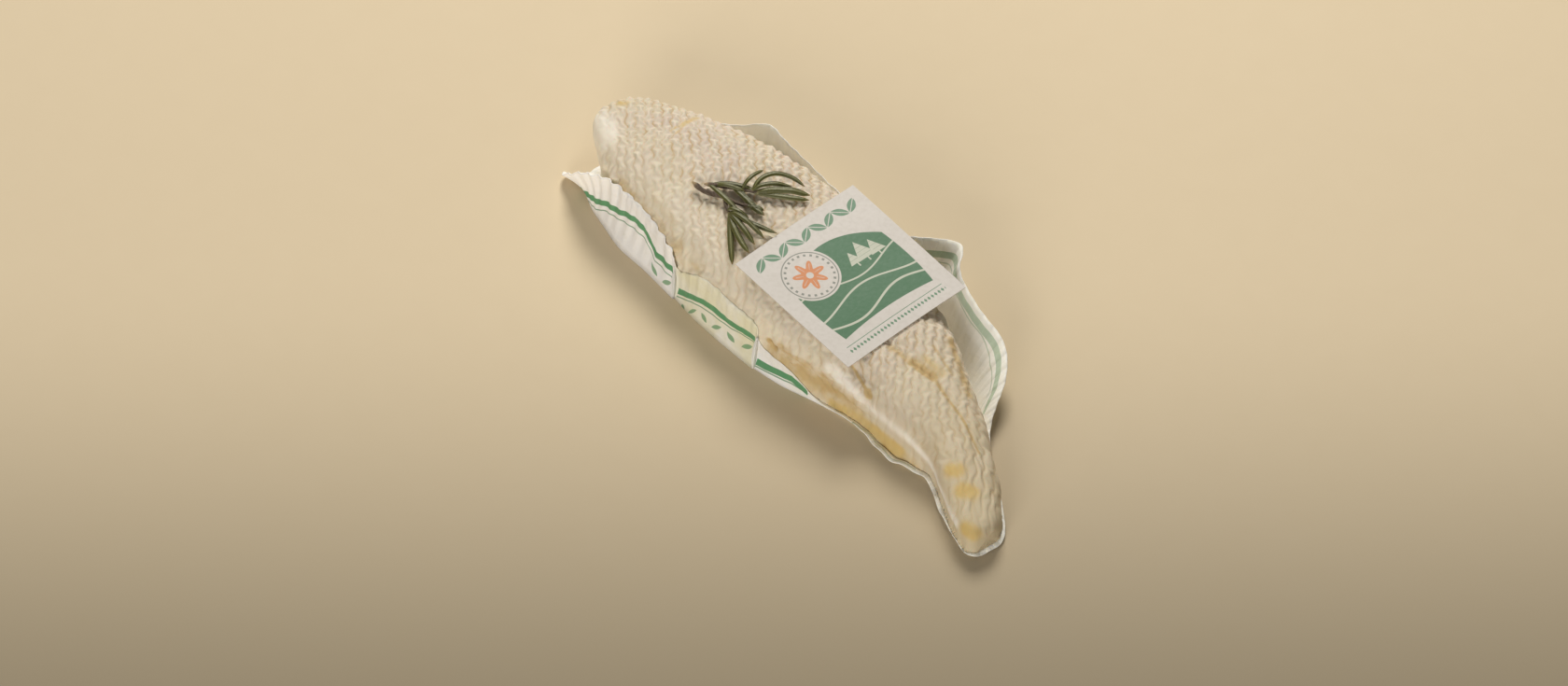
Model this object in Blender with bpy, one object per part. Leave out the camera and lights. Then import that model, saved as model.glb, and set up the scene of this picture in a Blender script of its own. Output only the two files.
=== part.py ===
"""Small goat cheese moulded in knitted cloth, with what it is sold with: a pleated paper case, a card label
on its back and a sprig of rosemary. Sizes below are in millimetres, X runs from the fat end to the thin tail,
Z is up, and the origin is on the underside of the paper, which lies on the table.
"""

import math

import bmesh
import bpy
from mathutils import Vector
from mathutils.bvhtree import BVHTree

MM = 0.001

# Clearances and sheet thicknesses
GAP = 0.3
PAPER = 0.4
CARD = 0.4
CHEESE_FLOOR = PAPER + GAP

# Cheese: x, near side y, far side y, crown height and the height where the body is widest
CHEESE_KEYS = (
    (-96, -13.4, 2.4, 26.4, 19.0),
    (-88, -15.9, 10.0, 28.2, 18.0),
    (-78, -19.8, 17.2, 29.6, 16.5),
    (-64, -21.2, 24.6, 30.8, 15.0),
    (-48, -21.6, 30.8, 31.2, 14.0),
    (-28, -22.0, 35.2, 31.0, 13.0),
    (-8, -21.2, 36.6, 30.0, 12.0),
    (14, -18.2, 36.0, 27.2, 11.0),
    (34, -13.2, 34.0, 24.8, 10.0),
    (50, -9.2, 29.8, 22.6, 9.0),
    (65, -7.4, 23.8, 20.4, 8.0),
    (79, -5.0, 18.4, 18.0, 7.2),
    (92, -9.0, 12.2, 15.8, 6.6),
    (104, -13.6, 5.6, 13.2, 5.8),
    (117, -15.4, -2.6, 10.0, 4.8),
)
FAT_END_X = -95.5
TAIL_END_X = 115.8
FAT_CAP, TAIL_CAP = 8.0, 4.6
UNDERCUT_CAP = 9.0
CAP_POWER = 2.8
END_LEAN, END_LEAN_REACH, END_LEAN_HEIGHT = 0.44, 34.0, 22.0
TOP_POWER_NEAR, TOP_POWER_FAR = 2.9, 2.4
BASE_POWER_NEAR, BASE_POWER_FAR = 8.0, 4.4
BASE_FULLNESS = 1.06
SECTIONS, SPOKES = 50, 30
END_CLOSENESS = 0.35

# Foot of the near side, which spreads where the body grows thin
FOOT_FLARE, FOOT_HEIGHT = 2.0, 6.0
FLARE_START_X, FLARE_FULL_X = 10.0, 30.0
FLARE_FADE_X, FLARE_END_X = 70.0, 82.0
FLARE_START_SIDE, FLARE_FULL_SIDE = -0.3, -0.9

# Knitted cloth pressed into the rind: its columns run across the body, seen from above
COLUMN_PITCH = 3.0
STITCH_LENGTH = 5.0
COLUMN_ACROSS = Vector((0.598, 0.802, 0.0))
STITCH_DEPTH = 0.24
TOP_NORMAL_Z = 0.12
STITCH_FADE = 0.4

# Folds of the rind: end points, width and depth
CREASES = (
    ((42.0, 8.0), (61.0, 12.0), 2.6, 1.3),
    ((61.0, 12.0), (78.0, 10.2), 2.2, 0.9),
    ((78.0, 10.2), (93.0, 6.6), 2.0, 0.6),
    ((42.0, -7.2), (51.0, -5.8), 1.8, 1.6),
)

# Label: its near fat-end corner, and its two edges from there
LABEL_CORNER = Vector((-9.5, -16.4, 31.0))
LABEL_TAILWARD = Vector((52.6, 6.3, -7.0))
LABEL_FARWARD = Vector((-5.9, 52.1, -1.5))
LABEL_CELLS = 8
LABEL_SAG = 0.5
LABEL_MARGIN = 0.04

# Paper case: x and y of the floor's edge, then x, y and height of the rim above it. The list starts at the tail's
# tip and goes along the near side to the fat end, and back along the far side.
CASE_STATIONS = (
    (114.6, -7.8, 117.0, -8.6, 1.0),
    (112.0, -14.0, 114.0, -15.6, 1.2),
    (95.2, -10.0, 95.6, -12.2, 1.5),
    (81.0, -5.4, 81.2, -7.6, 1.8),
    (65.4, -9.2, 66.0, -12.2, 2.4),
    (49.0, -10.2, 49.2, -12.0, 2.3),
    (33.0, -14.9, 33.0, -15.2, 1.9),
    (20.0, -19.7, 20.0, -17.9, 7.6),
    (8.6, -22.4, 8.4, -19.9, 10.4),
    (7.6, -23.0, 6.5, -19.4, 17.2),
    (-8.0, -24.6, -5.7, -20.9, 18.9),
    (-22.0, -25.3, -19.8, -22.8, 19.2),
    (-31.2, -25.0, -31.6, -23.2, 12.2),
    (-32.3, -25.6, -34.0, -23.5, 18.6),
    (-47.0, -25.7, -46.0, -21.7, 21.0),
    (-60.0, -26.5, -58.0, -21.4, 22.0),
    (-71.0, -24.9, -70.6, -22.8, 21.4),
    (-75.5, -24.2, -76.0, -23.4, 19.5),
    (-79.0, -23.6, -82.8, -24.6, 15.4),
    (-82.5, -22.2, -91.6, -24.2, 6.8),
    (-85.0, -19.5, -96.6, -22.4, 1.2),
    (-87.4, -13.0, -92.0, -15.0, 1.2),
    (-89.6, -3.0, -92.8, -3.2, 2.4),
    (-87.6, 8.5, -91.0, 10.0, 6.0),
    (-78.0, 18.6, -81.0, 20.6, 12.0),
    (-66.0, 26.0, -68.0, 27.4, 17.5),
    (-54.0, 31.0, -58.8, 34.0, 21.6),
    (-46.0, 34.0, -49.5, 34.4, 21.0),
    (-28.0, 37.6, -28.0, 38.0, 15.0),
    (0.0, 39.2, 0.5, 40.4, 16.0),
    (10.0, 38.8, 7.5, 43.6, 19.5),
    (20.0, 38.2, 19.4, 53.3, 20.0),
    (30.0, 36.6, 28.5, 46.4, 19.0),
    (45.0, 33.4, 42.5, 43.6, 16.0),
    (57.0, 28.6, 56.2, 43.2, 12.0),
    (66.0, 24.0, 66.8, 36.2, 9.0),
    (79.0, 17.0, 79.4, 20.2, 4.0),
    (97.4, 7.8, 98.0, 9.6, 1.5),
    (112.2, -1.8, 114.6, -0.8, 1.1),
)
FLUTE_PITCH = 5.2
FLUTE_DEPTH = 0.45
WALL_ROWS = (0.35, 0.7, 1.0)
WALL_BULGE = 0.9
WALL_CLEARANCE = 1.15
LEAST_RIM = 0.8

# Rosemary: stems as plan points with their thickness, and leaves
STEMS = {
    "main": (((-45.5, -7.0), (-40.0, -6.6), (-33.5, -2.6), (-28.5, -1.0), (-26.0, 1.0)), 1.9),
    "upper": (((-42.5, -4.6), (-37.0, 0.4), (-32.0, 4.2), (-28.6, 7.0)), 1.7),
    "side": (((-33.8, -2.7), (-30.5, -4.6), (-26.6, -5.9)), 1.5),
}
STEM_SIDES = 6
STEM_LIFT = 0.4
STEM_TAPER = 0.45

# Each leaf: its stem, place along it, first and last heading in degrees, length, tip lift and width
LEAVES = (
    ("upper", 0.12, 68, 6, 17.5, 1.2, 1.8),
    ("upper", 0.22, 40, 32, 10.0, 2.2, 1.7),
    ("upper", 0.55, 4, 0, 10.5, 1.4, 1.8),
    ("upper", 0.66, -14, 14, 13.5, 0.8, 2.5),
    ("upper", 0.10, 2, 2, 16.0, 1.8, 1.9),
    ("upper", 0.70, 103, 106, 11.0, 3.4, 1.5),
    ("upper", 0.90, 130, 0, 21.5, 3.0, 1.9),
    ("upper", 0.88, 84, 46, 13.5, 2.4, 1.9),
    ("upper", 0.97, 64, 42, 17.5, 1.6, 2.7),
    ("upper", 0.93, 38, 56, 18.0, 0.8, 2.2),
    ("side", 0.98, -36, -32, 18.0, 0.9, 2.1),
    ("side", 0.98, -26, -2, 16.4, 1.6, 2.3),
    ("side", 0.92, -4, -4, 15.2, 2.6, 2.1),
    ("side", 0.86, 12, 6, 16.0, 3.4, 1.9),
    ("side", 0.70, 24, 20, 8.0, 3.0, 1.6),
    ("side", 0.94, 18, 36, 17.2, 1.4, 2.0),
    ("main", 0.97, 46, 30, 6.0, 1.0, 1.6),
)
LEAF_RINGS = 7
LEAF_THICKNESS = 0.5
LEAF_BASE, LEAF_BELLY = 0.45, 0.55
LEAF_BELLY_START, LEAF_BELLY_SPAN = 0.12, 0.8
LEAF_TIP = 0.3
ARCH_START, ARCH_SPAN = 0.25, 0.6

# Edges sharper than this stay sharp
SHARP_ANGLE = math.radians(50)

# Colour, roughness and metallic value of each material
CHEESE_COLOUR = (0.63, 0.54, 0.41, 1.0)
PAPER_COLOUR = (0.72, 0.67, 0.57, 1.0)
LABEL_COLOUR = (0.63, 0.58, 0.52, 1.0)
ROSEMARY_COLOUR = (0.10, 0.11, 0.035, 1.0)


def clear_scene():
    for obj in list(bpy.data.objects):
        bpy.data.objects.remove(obj, do_unlink=True)


def material(name, colour, roughness):
    made = bpy.data.materials.new(name)
    made.use_nodes = True
    shader = made.node_tree.nodes["Principled BSDF"]
    shader.inputs["Base Color"].default_value = colour
    shader.inputs["Roughness"].default_value = roughness
    shader.inputs["Metallic"].default_value = 0.0
    return made


def finish(name, shape, look):
    """Turns a bmesh in millimetres into a named object in metres, with its faces pointing out."""
    bmesh.ops.recalc_face_normals(shape, faces=shape.faces)
    mesh = bpy.data.meshes.new(name)
    bmesh.ops.scale(shape, vec=(MM, MM, MM), verts=shape.verts)
    shape.to_mesh(mesh)
    shape.free()
    mesh.shade_smooth()
    mesh.set_sharp_from_angle(angle=SHARP_ANGLE)
    mesh.materials.append(look)
    obj = bpy.data.objects.new(name, mesh)
    bpy.context.scene.collection.objects.link(obj)
    return obj


def hermite(before, start, end, after, share):
    """Catmull-Rom value at a share of the way from start to end."""
    square = share * share
    cube = square * share
    return 0.5 * (
        2 * start
        + (end - before) * share
        + (2 * before - 5 * start + 4 * end - after) * square
        + (3 * start - before - 3 * end + after) * cube
    )


def cheese_sizes(x):
    """Near side, far side, crown height and waist height of the cheese at x, from its keys."""
    last = len(CHEESE_KEYS) - 1
    i = 0
    while i < last - 1 and CHEESE_KEYS[i + 1][0] < x:
        i += 1
    start, end = CHEESE_KEYS[i], CHEESE_KEYS[i + 1]
    before, after = CHEESE_KEYS[max(i - 1, 0)], CHEESE_KEYS[min(i + 2, last)]
    share = (x - start[0]) / (end[0] - start[0])
    return [hermite(before[k], start[k], end[k], after[k], share) for k in range(1, 5)]


def cap(distance, length):
    """1 inside the body, falling to 0 at its end along a quarter of a superellipse."""
    if distance >= length:
        return 1.0
    return (1 - (1 - distance / length) ** CAP_POWER) ** (1 / CAP_POWER)


def rise_between(low, high, value):
    """0 at low and 1 at high, with a smooth rise between."""
    share = min(1.0, max(0.0, (value - low) / (high - low)))
    return share * share * (3 - 2 * share)


def cheese_point(x, angle):
    """Point of the smooth body at x, with the angle counted round it from the far side over the crown."""
    near, far, crown, waist = cheese_sizes(x)
    to_fat, to_tail = x - FAT_END_X, TAIL_END_X - x
    girth = cap(to_fat, FAT_CAP) * cap(to_tail, TAIL_CAP)
    depth = cap(to_fat, UNDERCUT_CAP) * cap(to_tail, TAIL_CAP)
    across, up = math.cos(angle), math.sin(angle)
    if up < 0:
        power = BASE_POWER_FAR if across > 0 else BASE_POWER_NEAR
    else:
        power = TOP_POWER_FAR if across > 0 else TOP_POWER_NEAR
    side = math.copysign(abs(across) ** (2 / power), across)
    rise = abs(up) ** (2 / power)
    y = (near + far) / 2 + (far - near) / 2 * girth * side
    if up < 0:
        z = waist - (waist - CHEESE_FLOOR) * depth * min(1.0, BASE_FULLNESS * rise)
    else:
        z = waist + (crown - waist) * girth * rise
    low = min(1.0, max(0.0, 1 - (z - CHEESE_FLOOR) / FOOT_HEIGHT)) ** 2
    thin = rise_between(FLARE_START_X, FLARE_FULL_X, x) * rise_between(FLARE_END_X, FLARE_FADE_X, x)
    y -= FOOT_FLARE * thin * low * rise_between(FLARE_START_SIDE, FLARE_FULL_SIDE, side)
    leaning = max(0.0, 1 - to_fat / END_LEAN_REACH) ** 2
    return Vector((x + END_LEAN * (END_LEAN_HEIGHT - z) * leaning, y, z))


def label_height(x, y):
    """Height of the label's underside plane over a point."""
    normal = LABEL_TAILWARD.cross(LABEL_FARWARD)
    return LABEL_CORNER.z - ((x - LABEL_CORNER.x) * normal.x + (y - LABEL_CORNER.y) * normal.y) / normal.z


def label_place(x, y):
    """Shares of the label's two edges at a point seen from above, 0 to 1 on the label."""
    along, across = LABEL_TAILWARD, LABEL_FARWARD
    dx, dy = x - LABEL_CORNER.x, y - LABEL_CORNER.y
    area = along.x * across.y - along.y * across.x
    return (dx * across.y - dy * across.x) / area, (dy * along.x - dx * along.y) / area


def crease_depth(x, y):
    """How far the folds of the rind draw it in at a point."""
    deepest = 0.0
    for start, end, width, depth in CREASES:
        a, b, p = Vector(start), Vector(end), Vector((x, y))
        share = min(1.0, max(0.0, (p - a).dot(b - a) / (b - a).length_squared))
        off = (p - a - (b - a) * share).length / width
        deepest = max(deepest, depth * math.exp(-off * off))
    return deepest


def stitch_relief(point, up):
    """Height of the knitted texture at a point: columns of stitches, laid like bricks, with uneven depth."""
    column = point.dot(COLUMN_ACROSS) / COLUMN_PITCH
    along = (point.x * COLUMN_ACROSS.y - point.y * COLUMN_ACROSS.x) / STITCH_LENGTH
    shift = 0.5 * (round(column) % 2)
    ribs = math.cos(2 * math.pi * column)
    grains = 0.75 + 0.25 * math.cos(2 * math.pi * (along + shift))
    uneven = 0.8 + 0.2 * math.sin(0.21 * point.x) * math.cos(0.17 * point.y + 1.0)
    fade = min(1.0, max(0.0, (up - TOP_NORMAL_Z) / STITCH_FADE))
    return STITCH_DEPTH * ribs * grains * uneven * fade


def cheese_body():
    """Smooth body: rings across X, closed by a point at both ends."""
    shape = bmesh.new()
    rings = []
    for i in range(1, SECTIONS):
        turn = math.pi * i / SECTIONS
        share = END_CLOSENESS * (1 - math.cos(turn)) / 2 + (1 - END_CLOSENESS) * i / SECTIONS
        x = FAT_END_X + (TAIL_END_X - FAT_END_X) * share
        rings.append([
            shape.verts.new(cheese_point(x, 2 * math.pi * k / SPOKES)) for k in range(SPOKES)
        ])
    for ring, after in zip(rings, rings[1:]):
        for k in range(SPOKES):
            n = (k + 1) % SPOKES
            shape.faces.new((ring[k], after[k], after[n], ring[n]))
    for ring, x in ((rings[0], FAT_END_X), (rings[-1], TAIL_END_X)):
        near, far, _, waist = cheese_sizes(x)
        tip = shape.verts.new((x, (near + far) / 2, waist))
        for k in range(SPOKES):
            shape.faces.new((ring[k], ring[(k + 1) % SPOKES], tip))
    bmesh.ops.recalc_face_normals(shape, faces=shape.faces)
    return shape


def cut_columns(shape):
    """Cuts the upper skin along every ridge and valley of the knitted columns, so that they can be pressed in."""
    places = [v.co.dot(COLUMN_ACROSS) for v in shape.verts]
    half = COLUMN_PITCH / 2
    first, last = math.ceil(min(places) / half), math.floor(max(places) / half)
    for step in range(first, last + 1):
        place = step * half
        faces = [
            f for f in shape.faces
            if f.normal.z > TOP_NORMAL_Z
            and min(v.co.dot(COLUMN_ACROSS) for v in f.verts) < place
            and max(v.co.dot(COLUMN_ACROSS) for v in f.verts) > place
        ]
        edges = {e for f in faces for e in f.edges}
        verts = {v for f in faces for v in f.verts}
        bmesh.ops.bisect_plane(
            shape, geom=faces + list(edges) + list(verts), dist=0.25,
            plane_co=COLUMN_ACROSS * place, plane_no=COLUMN_ACROSS,
        )


def press_skin(shape):
    """Presses the stitches and folds into the skin, and flattens it where the label lies."""
    shape.normal_update()
    moves = []
    for v in shape.verts:
        drop = crease_depth(v.co.x, v.co.y) if v.normal.z > 0 else 0.0
        moves.append((v, v.co + v.normal * (stitch_relief(v.co, v.normal.z) - drop)))
    for v, place in moves:
        v.co = place
        along, across = label_place(place.x, place.y)
        if all(-LABEL_MARGIN < share < 1 + LABEL_MARGIN for share in (along, across)):
            limit = label_height(place.x, place.y) - GAP - label_sag(across)
            v.co.z = min(place.z, limit)


def label_sag(across):
    """How far the label droops over the crown, at a share of its width."""
    return LABEL_SAG * (2 * across - 1) ** 2


def make_cheese():
    shape = cheese_body()
    cut_columns(shape)
    press_skin(shape)
    bmesh.ops.triangulate(shape, faces=shape.faces, ngon_method="BEAUTY")
    skin = BVHTree.FromBMesh(shape)
    finish("cheese_log", shape, material("rind", CHEESE_COLOUR, 0.75))
    return skin


def make_label():
    """Square card, curved a little over the crown."""
    shape = bmesh.new()
    normal = LABEL_TAILWARD.cross(LABEL_FARWARD).normalized()
    layers = []
    for lift in (0.0, CARD):
        layer = {}
        for i in range(LABEL_CELLS + 1):
            for j in range(LABEL_CELLS + 1):
                along, across = i / LABEL_CELLS, j / LABEL_CELLS
                place = LABEL_CORNER + LABEL_TAILWARD * along + LABEL_FARWARD * across
                place.z -= label_sag(across)
                layer[i, j] = shape.verts.new(place + normal * lift)
        layers.append(layer)
    under, over = layers
    for i in range(LABEL_CELLS):
        for j in range(LABEL_CELLS):
            cell = ((i, j), (i + 1, j), (i + 1, j + 1), (i, j + 1))
            shape.faces.new([over[c] for c in cell])
            shape.faces.new([under[c] for c in reversed(cell)])
    rim = [(i, 0) for i in range(LABEL_CELLS)]
    rim += [(LABEL_CELLS, j) for j in range(LABEL_CELLS)]
    rim += [(LABEL_CELLS - i, LABEL_CELLS) for i in range(LABEL_CELLS)]
    rim += [(0, LABEL_CELLS - j) for j in range(LABEL_CELLS)]
    for a, b in zip(rim, rim[1:] + rim[:1]):
        shape.faces.new((under[a], under[b], over[b], over[a]))
    finish("label", shape, material("label card", LABEL_COLOUR, 0.6))


def case_columns():
    """Columns of the case's wall, as pairs of floor and rim points, about half a flute apart."""
    count = len(CASE_STATIONS)
    columns = []
    for i in range(count):
        four = [CASE_STATIONS[(i + k) % count] for k in (-1, 0, 1, 2)]
        length = math.dist(four[1][2:4], four[2][2:4])
        parts = max(1, round(2 * length / FLUTE_PITCH))
        for part in range(parts):
            x, y, rim_x, rim_y, rim_z = (hermite(*[s[k] for s in four], part / parts) for k in range(5))
            columns.append((Vector((x, y, 0.0)), Vector((rim_x, rim_y, max(rim_z, LEAST_RIM)))))
    return columns


def wall_point(columns, i, row, skin):
    """Point of the case's wall: straight from floor to rim, bulged, fluted, and pushed clear of the cheese."""
    foot, rim = columns[i]
    ahead, behind = columns[(i + 1) % len(columns)], columns[i - 1]
    run = ahead[1] - behind[1]
    outward = run.cross(rim - foot).normalized()
    flute = FLUTE_DEPTH * row * (1 if i % 2 else -1)
    bulge = WALL_BULGE * math.sin(math.pi * row)
    place = foot.lerp(rim, row) + outward * (flute + bulge)
    hit, normal, _, _ = skin.find_nearest(place)
    clear = (place - hit).dot(normal)
    if clear < WALL_CLEARANCE:
        place += normal * (WALL_CLEARANCE - clear)
    place.z = max(place.z, 0.0)
    return place


def make_case(skin):
    """Pleated paper case: a flat floor and a thin fluted wall, closed as one sheet of even thickness."""
    shape = bmesh.new()
    columns = case_columns()
    rows = [[shape.verts.new(foot) for foot, _ in columns]]
    for row in WALL_ROWS:
        rows.append([shape.verts.new(wall_point(columns, i, row, skin)) for i in range(len(columns))])
    for lower, upper in zip(rows, rows[1:]):
        for i in range(len(columns)):
            n = (i + 1) % len(columns)
            shape.faces.new((lower[i], lower[n], upper[n], upper[i]))
    floor = shape.faces.new(list(reversed(rows[0])))
    bmesh.ops.triangulate(shape, faces=[floor], ngon_method="BEAUTY")
    bmesh.ops.recalc_face_normals(shape, faces=shape.faces)
    if max(shape.faces, key=lambda f: f.calc_area()).normal.z > 0:
        bmesh.ops.reverse_faces(shape, faces=shape.faces)
    bmesh.ops.solidify(shape, geom=shape.faces, thickness=PAPER)
    finish("paper_case", shape, material("case paper", PAPER_COLOUR, 0.5))


def path_point(points, share):
    """Point at a share of a plan path, by length."""
    lengths = [math.dist(a, b) for a, b in zip(points, points[1:])]
    left = share * sum(lengths)
    for a, b, length in zip(points, points[1:], lengths):
        if left <= length:
            return Vector(a).lerp(Vector(b), left / length)
        left -= length
    return Vector(points[-1])


def ground(skin, place, reach):
    """Highest skin within reach of a plan point."""
    heights = []
    for dx, dy in ((0, 0), (reach, 0), (-reach, 0), (0, reach), (0, -reach)):
        hit, _, _, _ = skin.ray_cast(Vector((place.x + dx, place.y + dy, 100.0)), Vector((0, 0, -1)))
        heights.append(hit.z)
    return max(heights)


def tube(name, centres, widths, thicknesses, sides):
    """Closed flattened tube along a centre line, as an object in metres."""
    shape = bmesh.new()
    rings = []
    for i, centre in enumerate(centres):
        run = (centres[min(i + 1, len(centres) - 1)] - centres[max(i - 1, 0)]).normalized()
        flat = run.cross(Vector((0, 0, 1))).normalized()
        up = flat.cross(run)
        rings.append([
            shape.verts.new(
                centre
                + flat * widths[i] / 2 * math.cos(2 * math.pi * k / sides)
                + up * thicknesses[i] / 2 * math.sin(2 * math.pi * k / sides)
            )
            for k in range(sides)
        ])
    for ring, after in zip(rings, rings[1:]):
        for k in range(sides):
            n = (k + 1) % sides
            shape.faces.new((ring[k], after[k], after[n], ring[n]))
    shape.faces.new(rings[0])
    shape.faces.new(rings[-1])
    bmesh.ops.triangulate(shape, faces=shape.faces)
    return finish(name, shape, bpy.data.materials["rosemary"])


def stem_line(skin, stem):
    points, width = STEMS[stem]
    count = 2 * len(points)
    line = []
    for i in range(count + 1):
        plan = path_point(points, i / count)
        line.append(Vector((plan.x, plan.y, ground(skin, plan, width / 2) + GAP + STEM_LIFT + width / 2)))
    return line


def leaf_line(skin, stem, share, first, last, length, lift, width):
    """Centre line of a leaf: it starts in its stem's axis, turns evenly and rises towards its tip."""
    points, stem_width = STEMS[stem]
    plan = path_point(points, share)
    root = ground(skin, plan, stem_width / 2) + GAP + STEM_LIFT + stem_width / 2
    step = length / (LEAF_RINGS - 1)
    line = [Vector((plan.x, plan.y, root))]
    for i in range(1, LEAF_RINGS):
        along = i / (LEAF_RINGS - 1)
        heading = math.radians(first + (last - first) * (i - 0.5) / (LEAF_RINGS - 1))
        plan = plan + Vector((math.cos(heading), math.sin(heading))) * step
        low = ground(skin, plan, width / 2) + GAP + width * LEAF_THICKNESS / 2
        arch = lift * math.sin(math.pi * min(1.0, ARCH_START + along * ARCH_SPAN))
        line.append(Vector((plan.x, plan.y, max(low + arch, low))))
    return line


def make_sprig(skin):
    """Rosemary sprig: stems and leaves joined by one union."""
    material("rosemary", ROSEMARY_COLOUR, 0.5)
    stems = []
    for stem, (_, width) in STEMS.items():
        line = stem_line(skin, stem)
        taper = [width * (1 - STEM_TAPER * i / (len(line) - 1)) for i in range(len(line))]
        stems.append(tube("stem " + stem, line, taper, taper, STEM_SIDES))
    joined = bpy.data.collections.new("leaves")
    bpy.context.scene.collection.children.link(joined)
    for number, leaf in enumerate(LEAVES):
        line = leaf_line(skin, *leaf)
        shares = [i / (LEAF_RINGS - 1) for i in range(LEAF_RINGS)]
        bellies = [math.sin(math.pi * min(1.0, LEAF_BELLY_START + LEAF_BELLY_SPAN * s)) for s in shares]
        widths = [leaf[6] * (LEAF_BASE + LEAF_BELLY * belly) for belly in bellies]
        widths[-1] = leaf[6] * LEAF_TIP
        thicknesses = [w * LEAF_THICKNESS for w in widths]
        joined.objects.link(tube(f"leaf {number}", line, widths, thicknesses, STEM_SIDES))
    body = stems[0]
    for extra in stems[1:]:
        joined.objects.link(extra)
    union = body.modifiers.new("join", "BOOLEAN")
    union.operation = "UNION"
    union.operand_type = "COLLECTION"
    union.collection = joined
    union.solver = "EXACT"
    graph = bpy.context.evaluated_depsgraph_get()
    mesh = bpy.data.meshes.new_from_object(body.evaluated_get(graph))
    body.modifiers.clear()
    body.data = mesh
    body.name = "rosemary_sprig"
    mesh.materials.clear()
    mesh.materials.append(bpy.data.materials["rosemary"])
    for obj in list(joined.objects):
        bpy.data.objects.remove(obj, do_unlink=True)
    bpy.data.collections.remove(joined)


def main():
    clear_scene()
    skin = make_cheese()
    make_label()
    make_case(skin)
    make_sprig(skin)


if __name__ == "__main__":
    main()
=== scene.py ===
"""Looks for a small goat cheese moulded in knitted cloth, with its pleated paper case, card label and rosemary.

Sizes are in millimetres and become metres when a mesh is made. X runs from the fat end to the thin tail, Z is up.
"""

import math
from functools import reduce

import bmesh
import bpy
import numpy as np
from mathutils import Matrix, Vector, noise
from mathutils.bvhtree import BVHTree


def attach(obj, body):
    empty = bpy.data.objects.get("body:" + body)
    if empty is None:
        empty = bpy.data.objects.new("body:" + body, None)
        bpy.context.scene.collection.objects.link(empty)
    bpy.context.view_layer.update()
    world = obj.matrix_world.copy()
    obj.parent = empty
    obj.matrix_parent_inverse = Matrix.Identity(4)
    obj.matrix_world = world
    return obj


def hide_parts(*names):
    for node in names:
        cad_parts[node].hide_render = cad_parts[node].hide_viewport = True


bl_info = {
    "name": "Goat cheese in a paper case",
    "version": (1, 0, 0),
    "blender": (4, 5, 0),
    "location": "3D View > Sidebar > Goat cheese",
    "description": "Builds a knitted-cloth goat cheese with its paper case, card label and rosemary sprig",
    "category": "Object",
}

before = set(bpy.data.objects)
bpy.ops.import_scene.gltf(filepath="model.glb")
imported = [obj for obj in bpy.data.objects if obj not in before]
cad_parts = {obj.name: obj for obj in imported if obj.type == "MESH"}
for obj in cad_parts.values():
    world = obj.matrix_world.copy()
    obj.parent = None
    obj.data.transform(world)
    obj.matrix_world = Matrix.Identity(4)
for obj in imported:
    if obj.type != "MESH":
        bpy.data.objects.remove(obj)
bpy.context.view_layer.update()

MM = 0.001
TAU = 2 * math.pi
GAP = 0.3
CHEESE_FLOOR = 0.7

# Cheese: x, near side y, far side y, crown height and the height where the body is widest
CHEESE_KEYS = np.array((
    (-96, -13.4, 2.4, 26.4, 19.0),
    (-88, -15.9, 10.0, 28.2, 18.0),
    (-78, -19.8, 17.2, 29.6, 16.5),
    (-64, -21.2, 24.6, 30.8, 15.0),
    (-48, -21.6, 30.8, 31.2, 14.0),
    (-28, -22.0, 35.2, 31.0, 13.0),
    (-8, -21.2, 36.6, 30.0, 12.0),
    (14, -18.2, 36.0, 27.2, 11.0),
    (34, -13.2, 34.0, 24.8, 10.0),
    (50, -9.2, 29.8, 22.6, 9.0),
    (65, -7.4, 23.8, 20.4, 8.0),
    (79, -5.0, 18.4, 18.0, 7.2),
    (92, -9.0, 12.2, 15.8, 6.6),
    (104, -13.6, 5.6, 13.2, 5.8),
    (117, -15.4, -2.6, 10.0, 4.8),
))
FAT_END_X, TAIL_END_X = -95.5, 115.8
FAT_CAP, TAIL_CAP, UNDERCUT_CAP = 8.0, 4.6, 9.0
CAP_POWER = 2.8
END_LEAN, END_LEAN_REACH, END_LEAN_HEIGHT = 0.44, 34.0, 22.0
TOP_POWER_NEAR, TOP_POWER_FAR = 2.9, 2.4
BASE_POWER_NEAR, BASE_POWER_FAR = 8.0, 4.4
BASE_FULLNESS = 1.06
SECTIONS, SPOKES, RING_STEPS = 408, 236, 960
UNDERSIDE_SHARE, END_CROWDING = 0.35, 0.22

# Knitted cloth: columns of stitches run across the body, seen from above
COLUMN_ACROSS = np.array((0.598, 0.802, 0.0))
COLUMN_TURN = math.radians(36.7)
ZIGZAG, SLANT = 0.16, 0.34
STITCH_LEVEL = 0.6

# Drifts of the columns and of the rows, and the side's soft lumps: size, pitch in millimetres and seed
COLUMN_DRIFTS = ((0.5, 26.0, 3.1), (0.17, 5.0, 9.7))
ROW_DRIFTS = ((0.5, 22.0, 17.3), (0.16, 5.5, 23.9))
LUMPS = ((0.28, 9.0, 41.3),)

# Where the stitches fade towards the tail: share lost, and the run of x over which it goes
TAIL_FADES = ((0.6, 104.0, 112.0), (0.45, 34.0, 64.0))

# The cheese's foot on the near side, and its swelling towards the paper
FOOT_FLARE, FOOT_HEIGHT = 2.0, 6.0
FOOT_START, FOOT_END = (10.0, 30.0), (82.0, 70.0)
SWELL_REACH, SWELL_FULL, CONTACT = 2.4, 1.4, 0.12
BESIDE_REACH = 1.6
SWELL_TOP = 25.0

# Folds of the rind: end points, width and depth
CREASES = (
    ((42, 8), (61, 12), 2.6, 1.3),
    ((61, 12), (78, 10.2), 2.2, 0.9),
    ((78, 10.2), (93, 6.6), 2, 0.6),
    ((42, -7.2), (51, -5.8), 1.8, 1.6),
)

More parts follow.
